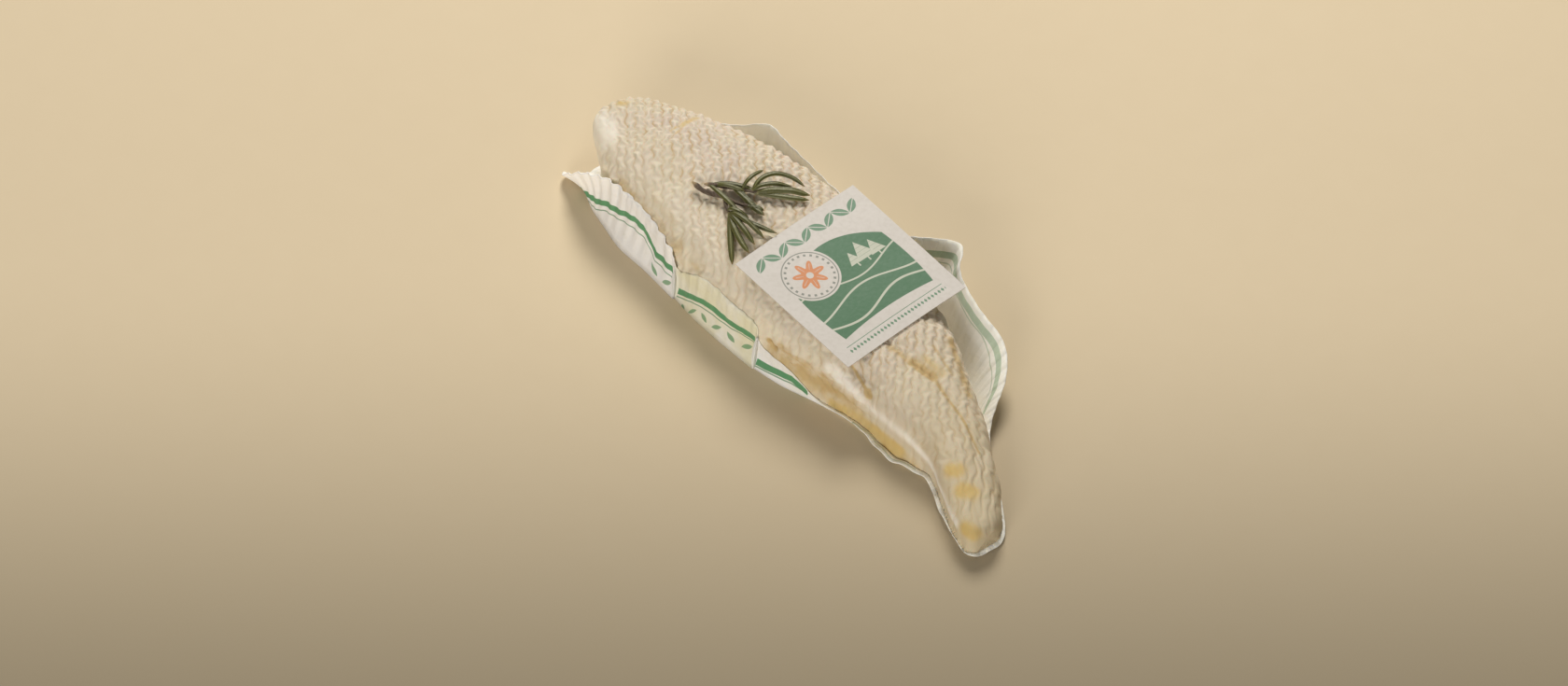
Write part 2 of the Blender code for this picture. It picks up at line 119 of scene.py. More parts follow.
# Marks on the rind: two end points in space, reach and strength
BROWN_MARKS = (
    ((-93, -4, 27), (-88, 1, 28), 2.4, 0.4),
    # A tan band just above the paper's rim on the near side
    ((-66, -20, 22), (-34, -22.2, 20), 3.4, 0.8),
    ((-34, -22.2, 20), (-4, -21, 19), 2.4, 0.5),
    ((12, -18.6, 13), (13.6, -18.2, 11.6), 1.9, 1.8),
    ((14, -18.4, 9), (46, -10.4, 8.4), 4.6, 1.15),
    ((16, -17.4, 14), (34, -13, 12), 3, 0.9),
    ((40.6, -7.2, 20.2), (46, -7.7, 18.3), 0.7, 1.25),
    ((46, -7.7, 18.3), (50, -7.9, 16.5), 0.7, 1.25),
    ((50, -7.9, 16.5), (51.4, -8.1, 15.6), 1.3, 1.5),
    ((43.4, 6.7, 23.4), (52.3, 9.1, 22.2), 2, 0.9),
    ((52.3, 9.1, 22.2), (60.3, 11.4, 21), 2.1, 1.6),
    ((60.3, 11.4, 21), (69.3, 10.2, 19.6), 1.2, 1),
    ((69.3, 10.2, 19.6), (77.3, 9.8, 18.1), 0.9, 1),
    ((77.3, 9.8, 18.1), (91.6, 6.5, 15.2), 0.8, 1.1),
    ((50.6, 18.7, 21.9), (62.3, 17.4, 19.7), 0.9, 0.8),
    # A tan band along the tail's far side where it meets the paper: painted shade
    ((50, 27, 18.5), (70, 18, 15.5), 2.6, 1),
)
YELLOW_MARKS = (
    ((-91, -3.2, 27.8), (-89.6, -1.4, 28), 1.8, 0.7),
    ((-70.6, 12.9, 28.3), (-69.7, 7, 29.9), 1.3, 0.8),
    ((-69.7, 7, 29.9), (-69.5, 1.5, 30.3), 0.55, 0.8),
    ((-69.4, 7.6, 29.9), (-67, 2, 30.5), 0.5, 0.8),
    ((38, -13, 3.6), (55, -9.6, 4.4), 2.4, 1),
    ((55, -9.6, 4.6), (68, -8.2, 3.8), 2.3, 1.25),
    ((68, -8.2, 3.4), (76, -6.6, 2), 1.8, 0.9),
    ((15, -18.4, 6), (38, -13, 4), 2.2, 0.5),
    ((91.6, -5.6, 15), (93.2, -4, 15.1), 3.5, 1),
    ((99.8, -6.8, 13.8), (102.2, -5.2, 13.7), 3.6, 1),
    ((110.6, -13.6, 9.4), (113.6, -12.4, 8.8), 3, 1),
    ((53, 13.4, 21.9), (61, 15, 20.6), 2.2, 0.6),
    ((-60, -17, 26.5), (-40, -19, 25), 4, 0.35),
)
CREAM_MARKS = (
    ((-92, -12, 22), (-84, -15.6, 26), 5.4, 1.2),
    ((-90, -12.4, 12), (-80, -18, 14), 5, 0.9),
    ((36, -11.6, 17), (48, -9.2, 12.6), 2.8, 1),
    ((52, -8.6, 12), (69.3, -6.5, 11.2), 2.6, 0.55),
    ((69.3, -6.5, 11.2), (77.1, -5.2, 8.6), 2.2, 0.7),
    ((77.1, -5.2, 8.6), (87.8, -7.6, 7.6), 2.2, 0.7),
    ((87.8, -7.6, 7.6), (106.1, -13.8, 8.3), 2, 0.6),
)
RIDGE = ((88, -7.6, 7.8), (106, -13.8, 8.3), 2, 0.3)
HOLLOW = ((12.4, -18.5, 12.3), (13.2, -18.3, 11.8), 1.7, 1.1)
WRINKLES = ((14, -18.4, 10), (48, -10, 8.5), 6, 1.3)
WRINKLE_SQUASH, WRINKLE_GRAIN, WRINKLE_LEVEL = (1, 1, 2.2), (5, 31.7), 0.6

# Label: its near fat-end corner, and its two edges from there
LABEL_CORNER = np.array((-9.5, -16.4, 31))
LABEL_TAILWARD = np.array((52.6, 6.3, -7))
LABEL_FARWARD = np.array((-5.9, 52.1, -1.5))
LABEL_SAG = 0.5
LABEL_CELLS = 60
LABEL_MARGIN = 0.04
CARD, CARD_WAVE = 0.35, 0.08
SHARP_ANGLE = math.radians(50)

# Print on the label, in millimetres from its lower left corner. Each hill: height, waves, start and thickness. Each
# fir: centre, foot and height.
CARD_SIZE = (52.5, 53.0)
FIELD_MIDDLE = 26.5
DISC_CENTRE = (15.6, 34.4)
PETALS, BEADS = 7.0, 24.0
HILLS = ((13.4, 0.16, 0.4, 0.5), (19.6, 0.14, 2.6, 0.45), (26.4, 0.15, 5.0, 0.4))
FIRS = ((31.4, 28.6, 5.0), (35.8, 28.4, 7.4), (40.4, 28.0, 5.8))

# Paper case: x and y of the floor's edge, then x, y and height of the rim above it. The list starts at the tail's
# tip and goes along the near side to the fat end, and back along the far side.
CASE_STATIONS = (
    (114.6, -7.8, 117, -8.6, 1),
    (112, -14, 114, -15.6, 1.2),
    (95.2, -10, 95.6, -12.2, 1.5),
    (81, -5.4, 81.2, -7.6, 1.8),
    (65.4, -9.2, 66, -12.2, 2.4),
    (49, -10.2, 49.2, -12, 2.3),
    (33, -14.9, 33, -15.2, 1.9),
    (20, -19.7, 20, -17.9, 7.6),
    (8.6, -22.4, 8.4, -19.9, 10.4),
    (7.6, -23, 6.5, -19.4, 17.2),
    (-8, -24.6, -5.7, -20.9, 18.9),
    (-22, -25.3, -19.8, -22.8, 19.2),
    (-31.2, -25, -31.6, -23.2, 12.2),
    (-32.3, -25.6, -34, -23.5, 18.6),
    (-47, -25.7, -46, -21.7, 21),
    (-60, -26.5, -58, -21.4, 22),
    (-71, -24.9, -70.6, -22.8, 21.4),
    (-75.5, -24.2, -76, -23.4, 19.5),
    (-79, -23.6, -82.8, -24.6, 15.4),
    (-82.5, -22.2, -91.6, -24.2, 6.8),
    (-85, -19.5, -96.6, -22.4, 1.2),
    (-87.4, -13, -92, -15, 1.2),
    (-89.6, -3, -92.8, -3.2, 2.4),
    (-87.6, 8.5, -91, 10, 6),
    (-78, 18.6, -81, 20.6, 12),
    (-66, 26, -68, 27.4, 17.5),
    (-54, 31, -58.8, 34, 21.6),
    (-46, 34, -49.5, 34.4, 21),
    (-28, 37.6, -28, 38, 15),
    (0, 39.2, 0.5, 40.4, 16),
    (10, 38.8, 7.5, 43.6, 19.5),
    (20, 38.2, 19.4, 53.3, 20),
    (30, 36.6, 28.5, 46.4, 19),
    (45, 33.4, 42.5, 43.6, 16),
    (57, 28.6, 56.2, 43.2, 12),
    (66, 24, 66.8, 36.2, 9),
    (79, 17, 79.4, 20.2, 4),
    (97.4, 7.8, 98, 9.6, 1.5),
    (112.2, -1.8, 114.6, -0.8, 1.1),
)

# Wall of the case: its pleats and rows, its clearance to the cheese, and its scalloped edge along the tail
FLUTE_PITCH = 5.2
COLUMN_PARTS = 4
WALL_ROWS, ROW_POWER = 14, 0.85
LEAST_RIM = 0.8
WALL_BULGE = 0.9
WALL_CLEARANCE = 0.75
LEAST_HEIGHT = 0.02
SCALLOP, SCALLOP_PITCH, SCALLOP_RUN = 0.55, 9, (78, 62)
CRUMPLES = ((0.45, 13), (0.18, 4))
PAPER = 0.28

# Print on the case: station, and the shares of the wall's height where the wide stripe and the thin line run
PRINT_RUNS = (
    ((3.3, 9, 0.72), (4, 9, 0.78), (4.2, 9, 0.70), (4.5, 9, 0.66), (5.1, 9, 0.94)),
    ((6.3, 0.60, 0.40), (6.8, 0.60, 0.34), (7, 0.50, 0.27), (7.6, 0.32, 0.15), (8, 0.26, 0.10)),
    (
        (9.05, 0.64, 0.54), (9.4, 0.60, 0.50), (9.8, 0.53, 0.42), (10.6, 0.49, 0.36), (11.2, 0.38, 0.26),
        (11.98, 0.28, 0.10),
    ),
    (
        (13.02, 0.55, 0.38), (13.4, 0.51, 0.35), (13.8, 0.46, 0.33), (14, 0.51, 0.39), (14.2, 0.61, 0.48),
        (14.6, 0.67, 0.51), (15, 0.64, 0.48), (15.6, 0.49, 0.36), (16.5, 0.38, 0.22), (17.2, 0.31, 0.13),
        (19.6, 0.32, 0.10),
    ),
    (
        (23, 0.55, 0.38), (29, 0.52, 0.35), (30.3, 0.74, 0.60), (30.8, 0.78, 0.66), (31.25, 0.83, 0.71),
        (31.75, 0.87, 0.76), (32.4, 0.81, 0.74), (32.8, 0.81, 0.70), (33.4, 0.81, 0.73), (33.8, 0.82, 0.67),
        (34.2, 0.81, 0.61), (34.6, 0.78, 0.61), (35, 0.71, 0.56), (35.12, 0.67, 0.42), (35.25, 0.61, 0.21),
        (35.5, 0.35, 0.05),
    ),
)
UNPRINTED = 99

# Stations between which small leaves are printed, and how much each station is soaked with fat and pleated
MOTIF_RUN = (8.6, 14)
GREASY_RUNS = (
    (0, 0.5), (6, 0.5), (8, 0.3), (9, 0.75), (12, 0.75), (13, 0.1), (20, 0.12), (28, 0.2), (31, 0.45),
    (36, 0.5), (39, 0.5),
)
FLUTE_RUNS = (
    (0, 0.1), (8, 0.1), (9.2, 0.3), (12, 0.35), (13.2, 1), (19, 1), (21, 0.4), (25, 0.25), (36, 0.2),
    (37, 0.1),
)

# Rosemary: stems as plan points with their thickness
STEMS = {
    "main": (((-45.5, -7), (-40, -6.6), (-33.5, -2.6), (-28.5, -1), (-26, 1)), 1.9),
    "upper": (((-42.5, -4.6), (-37, 0.4), (-32, 4.2), (-28.6, 7)), 1.7),
    "side": (((-33.8, -2.7), (-30.5, -4.6), (-26.6, -5.9)), 1.5),
}
STEM_LIFT, STEM_TAPER = 0.4, 0.45
STEM_POINTS, KNOT_TURN, STEM_SEED = 25, 21, 11
KNOTS, BARK_ROUGHNESS = 0.10, 0.06
TORN_END, TORN_RUN = 0.35, 0.12
BARK_TURN = math.radians(-35.0)

# Each leaf: its stem, place along it, first and last heading in degrees, length, tip lift and width
LEAVES = (
    ("upper", 0.12, 68, 6, 17.5, 1.2, 1.8),
    ("upper", 0.22, 40, 32, 10, 2.2, 1.7),
    ("upper", 0.55, 4, 0, 10.5, 1.4, 1.8),
    ("upper", 0.66, -14, 14, 13.5, 0.8, 2.5),
    ("upper", 0.10, 2, 2, 16, 1.8, 1.9),
    ("upper", 0.70, 103, 106, 11, 3.4, 1.5),
    ("upper", 0.90, 130, 0, 21.5, 3, 1.9),
    ("upper", 0.88, 84, 46, 13.5, 2.4, 1.9),
    ("upper", 0.97, 64, 42, 17.5, 1.6, 2.7),
    ("upper", 0.93, 38, 56, 18, 0.8, 2.2),
    ("side", 0.98, -36, -32, 18, 0.9, 2.1),
    ("side", 0.98, -26, -2, 16.4, 1.6, 2.3),
    ("side", 0.92, -4, -4, 15.2, 2.6, 2.1),
    ("side", 0.86, 12, 6, 16, 3.4, 1.9),
    ("side", 0.70, 24, 20, 8, 3, 1.6),
    ("side", 0.94, 18, 36, 17.2, 1.4, 2),
    ("main", 0.97, 46, 30, 6, 1, 1.6),
)
LEAF_POINTS, LEAF_RINGS = 19, 7
LEAF_THICKNESS = 0.5
LEAF_BASE, BELLY_START, BELLY_SPAN = 0.5, 0.12, 0.75
TIP_RUN, TIP_LEAST = (0.82, 1.03), 0.02
ARCH_START, ARCH_SPAN = 0.25, 0.6
SECTION_SIDES = 20
GROOVE, ROLLED_EDGE = 0.252, 0.22

# Camera: the point that it looks at, its distance and its two angles
AIM = Vector((5.5, -7.9, 0.0)) * MM
CAMERA_DISTANCE = 4.254
CAMERA_HEIGHT_ANGLE = math.radians(48.6)
LOOK_ALONG = Vector((-0.802, 0.598, 0.0))
LENS = 300.0

# Stage: the floor's rings, and each light's place ahead, to the right and up in metres, with its width
FLOOR_SIDES, FLOOR_RADII = 96, (300.0, 1200.0, 6000.0)
KEY = ((1.0, 0.08, 0.95), 0.5)
FILL = ((-1.9, -0.7, 0.72), 1.0)
LIGHT_COLOUR = (1.0, 0.96, 0.90)
SKY_STRENGTH = 0.18


def paint(red, green, blue):
    """Linear colour of an 8-bit sRGB one."""
    shares = [c / 255 for c in (red, green, blue)]
    return (*[c / 12.92 if c <= 0.04045 else ((c + 0.055) / 1.055) ** 2.4 for c in shares], 1.0)


# Colours that the settings leave out
TONES = {
    "old rind": paint(197, 180, 143),
    "pale stitch": paint(231, 221, 200),
    # Paler cream of the smooth near side: partly its own tone, partly painted light
    "cream": paint(247, 242, 232),
    "lit soft side": paint(238, 228, 205),
    "ochre": paint(196, 167, 110),
    "brown": paint(140, 108, 60),
    "yellow": paint(210, 180, 108),
    # Darker tan of the gaps between stitches: partly the rind's tint, partly painted shade
    "gap_tint_and_shade": paint(180, 148, 96),
    "speck": paint(206, 186, 150),
    # Paler colour of the paper's inside: painted light shining through the paper
    "painted inner glow": paint(254, 251, 238),
    "thin line": paint(98, 146, 108),
    "small leaf": paint(112, 160, 116),
    "paper fibre": paint(190, 184, 160),
    "card fibre": paint(190, 184, 172),
    "deep ink": paint(54, 110, 68),
    "pale print": paint(206, 206, 188),
    "ring ink": paint(96, 104, 92),
    "border ink": paint(88, 130, 98),
    "dark leaf": paint(67, 69, 25),
    "midrib": paint(160, 156, 96),
    "leaf edge": paint(142, 138, 92),
    "leaf underside": paint(156, 162, 130),
    "dry tip": paint(140, 112, 72),
    "leaf base": paint(150, 140, 96),
    "dark bark": paint(76, 64, 54),
    "light bark": paint(152, 140, 120),
    "cut wood": paint(178, 156, 120),
    "floor grain": paint(190, 172, 142),
}


def arithmetic(operation, swapped=False):
    """A method that adds one Math node, with its values swapped where a number stands on the left."""
    def method(self, *others):
        values = (*others, self) if swapped else (self, *others)
        return Field.node(self.tree, "ShaderNodeMath", {"operation": operation}, dict(enumerate(values)))

    return method


class Field:
    """A socket of a node tree that takes part in Python expressions."""

    __add__, __radd__ = arithmetic("ADD"), arithmetic("ADD", True)
    __sub__, __rsub__ = arithmetic("SUBTRACT"), arithmetic("SUBTRACT", True)
    __mul__, __rmul__ = arithmetic("MULTIPLY"), arithmetic("MULTIPLY", True)
    __truediv__, __pow__, __abs__ = arithmetic("DIVIDE"), arithmetic("POWER"), arithmetic("ABSOLUTE")
    least, most, direction = arithmetic("MINIMUM"), arithmetic("MAXIMUM"), arithmetic("ARCTAN2")
    floor, wave, modulo = arithmetic("FLOOR"), arithmetic("COSINE"), arithmetic("FLOORED_MODULO")

    def __init__(self, tree, socket):
        self.tree, self.socket = tree, socket

    @classmethod
    def node(cls, tree, kind, settings=None, inputs=None, output=0):
        """Adds any node. Its settings come first, then the values or links of its sockets."""
        made = tree.nodes.new(kind)
        for key, value in (settings or {}).items():
            setattr(made, key, value)
        for key, value in (inputs or {}).items():
            if isinstance(value, Field):
                tree.links.new(value.socket, made.inputs[key])
            else:
                made.inputs[key].default_value = value
        return cls(tree, made.outputs[output])

    def step(self, low, high):
        """0 below low and 1 above high, with a smooth rise between, or a fall where low is the higher."""
        start, end = (0.0, 1.0) if low < high else (1.0, 0.0)
        limits = {"From Min": min(low, high), "From Max": max(low, high), "To Min": start, "To Max": end}
        inputs = {"Value": self, **limits}
        return Field.node(self.tree, "ShaderNodeMapRange", {"interpolation_type": "SMOOTHSTEP"}, inputs)


def split(vector):
    """The three numbers of a vector."""
    made = Field.node(vector.tree, "ShaderNodeSeparateXYZ", inputs={0: vector})
    return [Field(vector.tree, socket) for socket in made.socket.node.outputs]


def join(x, y, z=0.0):
    return Field.node(x.tree, "ShaderNodeCombineXYZ", inputs={0: x, 1: y, 2: z})


def blend(share, first, second):
    """Colour mix."""
    return Field.node(share.tree, "ShaderNodeMix", {"data_type": "RGBA"}, {0: share, 6: first, 7: second}, 2)


def coats(base, *layers):
    """Colours laid over a base one after the other, each by its share."""
    for share, colour in layers:
        base = blend(share, base, TONES[colour] if isinstance(colour, str) else colour)
    return base


def vector_of(tree, name):
    """Vector attribute of the piece."""
    return Field.node(tree, "ShaderNodeAttribute", {"attribute_name": name}, output=1)


def number_of(tree, name):
    """Number attribute of the piece."""
    return Field.node(tree, "ShaderNodeAttribute", {"attribute_name": name}, output=2)


def place(tree):
    """The object's own coordinates."""
    return Field.node(tree, "ShaderNodeTexCoord", output=3)


def cloud(tree, scale, detail=3.0, rough=0.55, stretch=None, where=None):
    """Soft noise, on the object's own coordinates where no others are given. Its scale is in patches per unit."""
    where = where or place(tree)
    if stretch:
        turned = {"Vector": where, "Rotation": stretch[0], "Scale": stretch[1]}
        where = Field.node(tree, "ShaderNodeMapping", inputs=turned)
    inputs = {"Vector": where, "Scale": scale, "Detail": detail, "Roughness": rough}
    return Field.node(tree, "ShaderNodeTexNoise", inputs=inputs)


def look(name, build, settings, **constants):
    """A material. Its build gives colour, roughness and, where it has one, normal. Constants set other sockets."""
    made = bpy.data.materials.new(name)
    made.use_nodes = True
    tree = made.node_tree
    shader = tree.nodes["Principled BSDF"]
    for key, value in constants.items():
        shader.inputs[key.replace("_", " ")].default_value = value
    for key, value in zip(("Base Color", "Roughness", "Normal"), build(tree, settings)):
        tree.links.new(value.socket, shader.inputs[key])
    return made


def bump(height, strength, distance):
    inputs = {"Height": height, "Strength": strength, "Distance": distance}
    return Field.node(height.tree, "ShaderNodeBump", inputs=inputs)


def geometry_tree(name, *sizes):
    """An empty geometry tree with a geometry input and output, the named sizes and a material."""
    tree = bpy.data.node_groups.new(name, "GeometryNodeTree")
    kinds = {"Geometry": "NodeSocketGeometry", **dict.fromkeys(sizes, "NodeSocketFloat")}
    kinds["Material"] = "NodeSocketMaterial"
    for label, kind in kinds.items():
        tree.interface.new_socket(label, in_out="INPUT", socket_type=kind)
    tree.interface.new_socket("Geometry", in_out="OUTPUT", socket_type="NodeSocketGeometry")
    entry = tree.nodes.new("NodeGroupInput")
    return tree, {socket.name: Field(tree, socket) for socket in entry.outputs if socket.name}


def end_tree(tree, geometry, entry):
    """Smooth shading, real geometry and the material, then the tree's output."""
    smooth = Field.node(tree, "GeometryNodeSetShadeSmooth", inputs={"Geometry": geometry})
    real = Field.node(tree, "GeometryNodeRealizeInstances", inputs={"Geometry": smooth})
    painted = Field.node(tree, "GeometryNodeSetMaterial", inputs={"Geometry": real, "Material": entry["Material"]})
    leaving = tree.nodes.new("NodeGroupOutput")
    tree.links.new(painted.socket, leaving.inputs[0])
    return tree


def press(tree, entry, lift):
    """Moves every point along its normal, and ends the tree."""
    normal = Field.node(tree, "GeometryNodeInputNormal")
    offset = Field.node(tree, "ShaderNodeVectorMath", {"operation": "SCALE"}, {0: normal, "Scale": lift})
    moved = Field.node(tree, "GeometryNodeSetPosition", inputs={"Geometry": entry["Geometry"], "Offset": offset})
    return end_tree(tree, moved, entry)


def grow(obj, tree, values):
    """Runs a geometry tree on an object and keeps its result as a plain mesh."""
    modifier = obj.modifiers.new(tree.name, "NODES")
    modifier.node_group = tree
    for item in tree.interface.items_tree:
        if item.in_out == "INPUT" and item.name in values:
            modifier[item.identifier] = values[item.name]
    graph = bpy.context.evaluated_depsgraph_get()
    mesh = bpy.data.meshes.new_from_object(obj.evaluated_get(graph), preserve_all_data_layers=True, depsgraph=graph)
    obj.modifiers.clear()
    obj.data = mesh
    if not mesh.polygons:
        raise RuntimeError("The geometry tree " + tree.name + " made no faces")


def named_field(tree, name, kind="FLOAT"):
    return Field.node(tree, "GeometryNodeInputNamedAttribute", {"data_type": kind}, {"Name": name})


def new_object(name, vertices, faces, edges=()):
    """An object from points in millimetres."""
    mesh = bpy.data.meshes.new(name)
    mesh.from_pydata((np.asarray(vertices) * MM).tolist(), list(edges), faces)
    obj = bpy.data.objects.new(name, mesh)
    bpy.context.scene.collection.objects.link(obj)
    return obj


def ring_faces(rings, count, inward=False):
    """Quads between closed rings of points."""
    faces = []
    for row in range(rings - 1):
        for k in range(count):
            a, b = row * count + k, row * count + (k + 1) % count
            faces.append((a, a + count, b + count, b) if inward else (a, b, b + count, a + count))
    return faces


def store(mesh, **attributes):
    """Numbers or vectors for each vertex, under their names."""
    for name, values in attributes.items():
        values = np.asarray(values, dtype=np.float32)
        vector = values.ndim == 2
        made = mesh.attributes.new(name, "FLOAT_VECTOR" if vector else "FLOAT", "POINT")
        made.data.foreach_set("vector" if vector else "value", values.ravel())


def points_of(mesh):
    """Vertices in millimetres."""
    flat = np.empty(len(mesh.vertices) * 3, dtype=np.float32)
    mesh.vertices.foreach_get("co", flat)
    return flat.reshape(-1, 3).astype(float) / MM


def put_points(mesh, points):
    """Moves the vertices to points in millimetres."""
    mesh.vertices.foreach_set("co", (points * MM).ravel().astype(np.float32))
    mesh.update()


def settle(obj, node):
    """Finishes a piece: hangs it on the root body and hides the CAD node that it stands for."""
    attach(obj, "root")
    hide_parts(node)


def hermite(before, start, end, after, share):
    """Catmull-Rom value at a share of the way from start to end."""
    square = share * share
    cube = square * share
    return 0.5 * (
        2 * start
        + (end - before) * share
        + (2 * before - 5 * start + 4 * end - after) * square
        + (3 * start - before - 3 * end + after) * cube
    )


def smooth(low, high, value):
    """0 at low and 1 at high, with a smooth rise between."""
    share = np.clip((value - low) / (high - low), 0.0, 1.0)
    return share * share * (3 - 2 * share)


def grain(points, pitch, seed):
    """Smooth noise of about -1 to 1 at points in millimetres."""
    moved = points / pitch + seed
    return np.array([noise.noise(p) for p in moved.tolist()]) * 1.6


def drift(points, waves):
    """Sum of several grains."""
    return sum(share * grain(points, pitch, seed) for share, pitch, seed in waves)


def reach(points, start, end, width):
    """1 on a line between two points, falling off over the width."""
    start, end = np.array(start), np.array(end)
    run = end - start
    share = np.clip((points - start) @ run / (run @ run), 0.0, 1.0)
    off = np.linalg.norm(points - start - share[:, None] * run, axis=1) / width
    return np.exp(-off * off)


def marked(points, marks):
    """Strength of a list of marks at each point."""
    total = np.zeros(len(points))
    for start, end, width, strength in marks:
        total = np.maximum(total, strength * reach(points, start, end, width))
    return total


def cap(distance, length):
    """1 inside the body, falling to 0 at its end along a quarter of a superellipse."""
    share = np.clip(distance / length, 0.0, 1.0)
    return (1 - (1 - share) ** CAP_POWER) ** (1 / CAP_POWER)


def cheese_ring(x, angles):
    """Ring of the smooth body at x, with the angle counted round it from the far side over the crown."""
    last = len(CHEESE_KEYS) - 1
    i = int(np.clip(np.searchsorted(CHEESE_KEYS[:, 0], x) - 1, 0, last - 1))
    keys = [CHEESE_KEYS[k] for k in (max(i - 1, 0), i, i + 1, min(i + 2, last))]
    share = (x - keys[1][0]) / (keys[2][0] - keys[1][0])
    near, far, crown, waist = hermite(*keys, share)[1:]
    to_fat, to_tail = x - FAT_END_X, TAIL_END_X - x
    width = cap(to_fat, FAT_CAP) * cap(to_tail, TAIL_CAP)
    depth = cap(to_fat, UNDERCUT_CAP) * cap(to_tail, TAIL_CAP)
    across, up = np.cos(angles), np.sin(angles)
    base = np.where(across > 0, BASE_POWER_FAR, BASE_POWER_NEAR)
    power = np.where(up < 0, base, np.where(across > 0, TOP_POWER_FAR, TOP_POWER_NEAR))
    side = np.sign(across) * np.abs(across) ** (2 / power)
    rise = np.abs(up) ** (2 / power)
    y = (near + far) / 2 + (far - near) / 2 * width * side
    below = waist - (waist - CHEESE_FLOOR) * depth * np.minimum(1.0, BASE_FULLNESS * rise)
    z = np.where(up < 0, below, waist + (crown - waist) * width * rise)
    leaning = max(0.0, 1 - to_fat / END_LEAN_REACH) ** 2
    low = np.clip(1 - (z - CHEESE_FLOOR) / FOOT_HEIGHT, 0.0, 1.0) ** 2
    thin = smooth(*FOOT_START, x) * smooth(*FOOT_END, x)
    y = y - FOOT_FLARE * thin * low * smooth(-0.3, -0.9, side)
    return np.stack((x + END_LEAN * (END_LEAN_HEIGHT - z) * leaning, y, z), axis=1)


def cheese_grid():
    """Rings of evenly spaced points, closer on the upper side, and the way round each ring in millimetres."""
    angles = np.linspace(0, TAU, RING_STEPS + 1)
    turns = math.pi * np.arange(1, SECTIONS) / SECTIONS
    shares = END_CROWDING * (1 - np.cos(turns)) / 2 + (1 - END_CROWDING) * np.arange(1, SECTIONS) / SECTIONS
    rings, ways = [], []
    for share in shares:
        ring = cheese_ring(FAT_END_X + (TAIL_END_X - FAT_END_X) * share, angles)
        steps = np.linalg.norm(np.diff(ring, axis=0), axis=1)
        dense = steps * np.where(angles[1:] <= math.pi, 1.0, UNDERSIDE_SHARE)
        counted = np.concatenate(((0,), np.cumsum(dense)))
        wanted = np.arange(SPOKES) / SPOKES * counted[-1]
        rings.append(np.stack([np.interp(wanted, counted, ring[:, k]) for k in range(3)], axis=1))
        way = np.concatenate(((0,), np.cumsum(steps)))
        crown = np.interp(math.pi / 2, angles, way)
        ways.append(crown - np.interp(wanted, counted, way))
    return np.array(rings), np.array(ways)


def label_height(x, y):
    """Height of the label's underside plane over a point."""
    normal = np.cross(LABEL_TAILWARD, LABEL_FARWARD)
    return LABEL_CORNER[2] - ((x - LABEL_CORNER[0]) * normal[0] + (y - LABEL_CORNER[1]) * normal[1]) / normal[2]


def label_place(x, y):
    """Shares of the label's two edges at a point seen from above, 0 to 1 on the label."""
    along, across = LABEL_TAILWARD, LABEL_FARWARD
    dx, dy = x - LABEL_CORNER[0], y - LABEL_CORNER[1]
    area = along[0] * across[1] - along[1] * across[0]
    return (dx * across[1] - dy * across[0]) / area, (dy * along[0] - dx * along[1]) / area


def label_sag(across):
    """How far the label droops over the crown, at a share of its width."""
    return LABEL_SAG * (2 * across - 1) ** 2


def crease_depth(points):
    """How far the folds of the rind draw it in."""
    deepest = np.zeros(len(points))
    flat = points * (1, 1, 0)
    for start, end, width, depth in CREASES:
        deepest = np.maximum(deepest, depth * reach(flat, (*start, 0), (*end, 0), width))
    return deepest


def knit(weave):
    """Knitted stitches from their column and row coordinates: height, gap beside, gap at the end, chance, fade."""
    across, along, fade = split(weave)
    bend = (along * TAU).wave() * (across * math.pi).wave() * ZIGZAG
    column = across + bend
    number = column.floor()
    in_column = column - number
    odd = number.modulo(2.0)
    row = along + 0.5 * odd + (in_column - 0.5) * (1 - 2 * odd) * SLANT
    count = row.floor()
    in_row = row - count
    side = in_column.least(1 - in_column)
    end = in_row.least(1 - in_row)
    cell = {"Vector": join(number, count)}
    chance = Field.node(weave.tree, "ShaderNodeTexWhiteNoise", {"noise_dimensions": "2D"}, cell)
    height = side.step(-0.04, 0.40) * (0.22 + 0.78 * end.step(-0.06, 0.38)) * (0.8 + 0.4 * chance)
    return height, side, end, chance, fade


def rind_tree():
    """Presses stitches and folds into the smooth body along its normals."""
    tree, entry = geometry_tree("knitted rind", "Stitch depth")
    height, _, _, _, fade = knit(named_field(tree, "weave", "FLOAT_VECTOR"))
    drop = named_field(tree, "drop")
    return press(tree, entry, (height - STITCH_LEVEL) * fade * entry["Stitch depth"] - drop * MM)


def case_tree():
    """Pleats the case's wall along its normals."""
    tree, entry = geometry_tree("pleated wall", "Flute depth")
    phase, pleat = named_field(tree, "phase"), named_field(tree, "pleat")
    return press(tree, entry, (phase * math.pi).wave() * pleat * entry["Flute depth"] * -1.0)


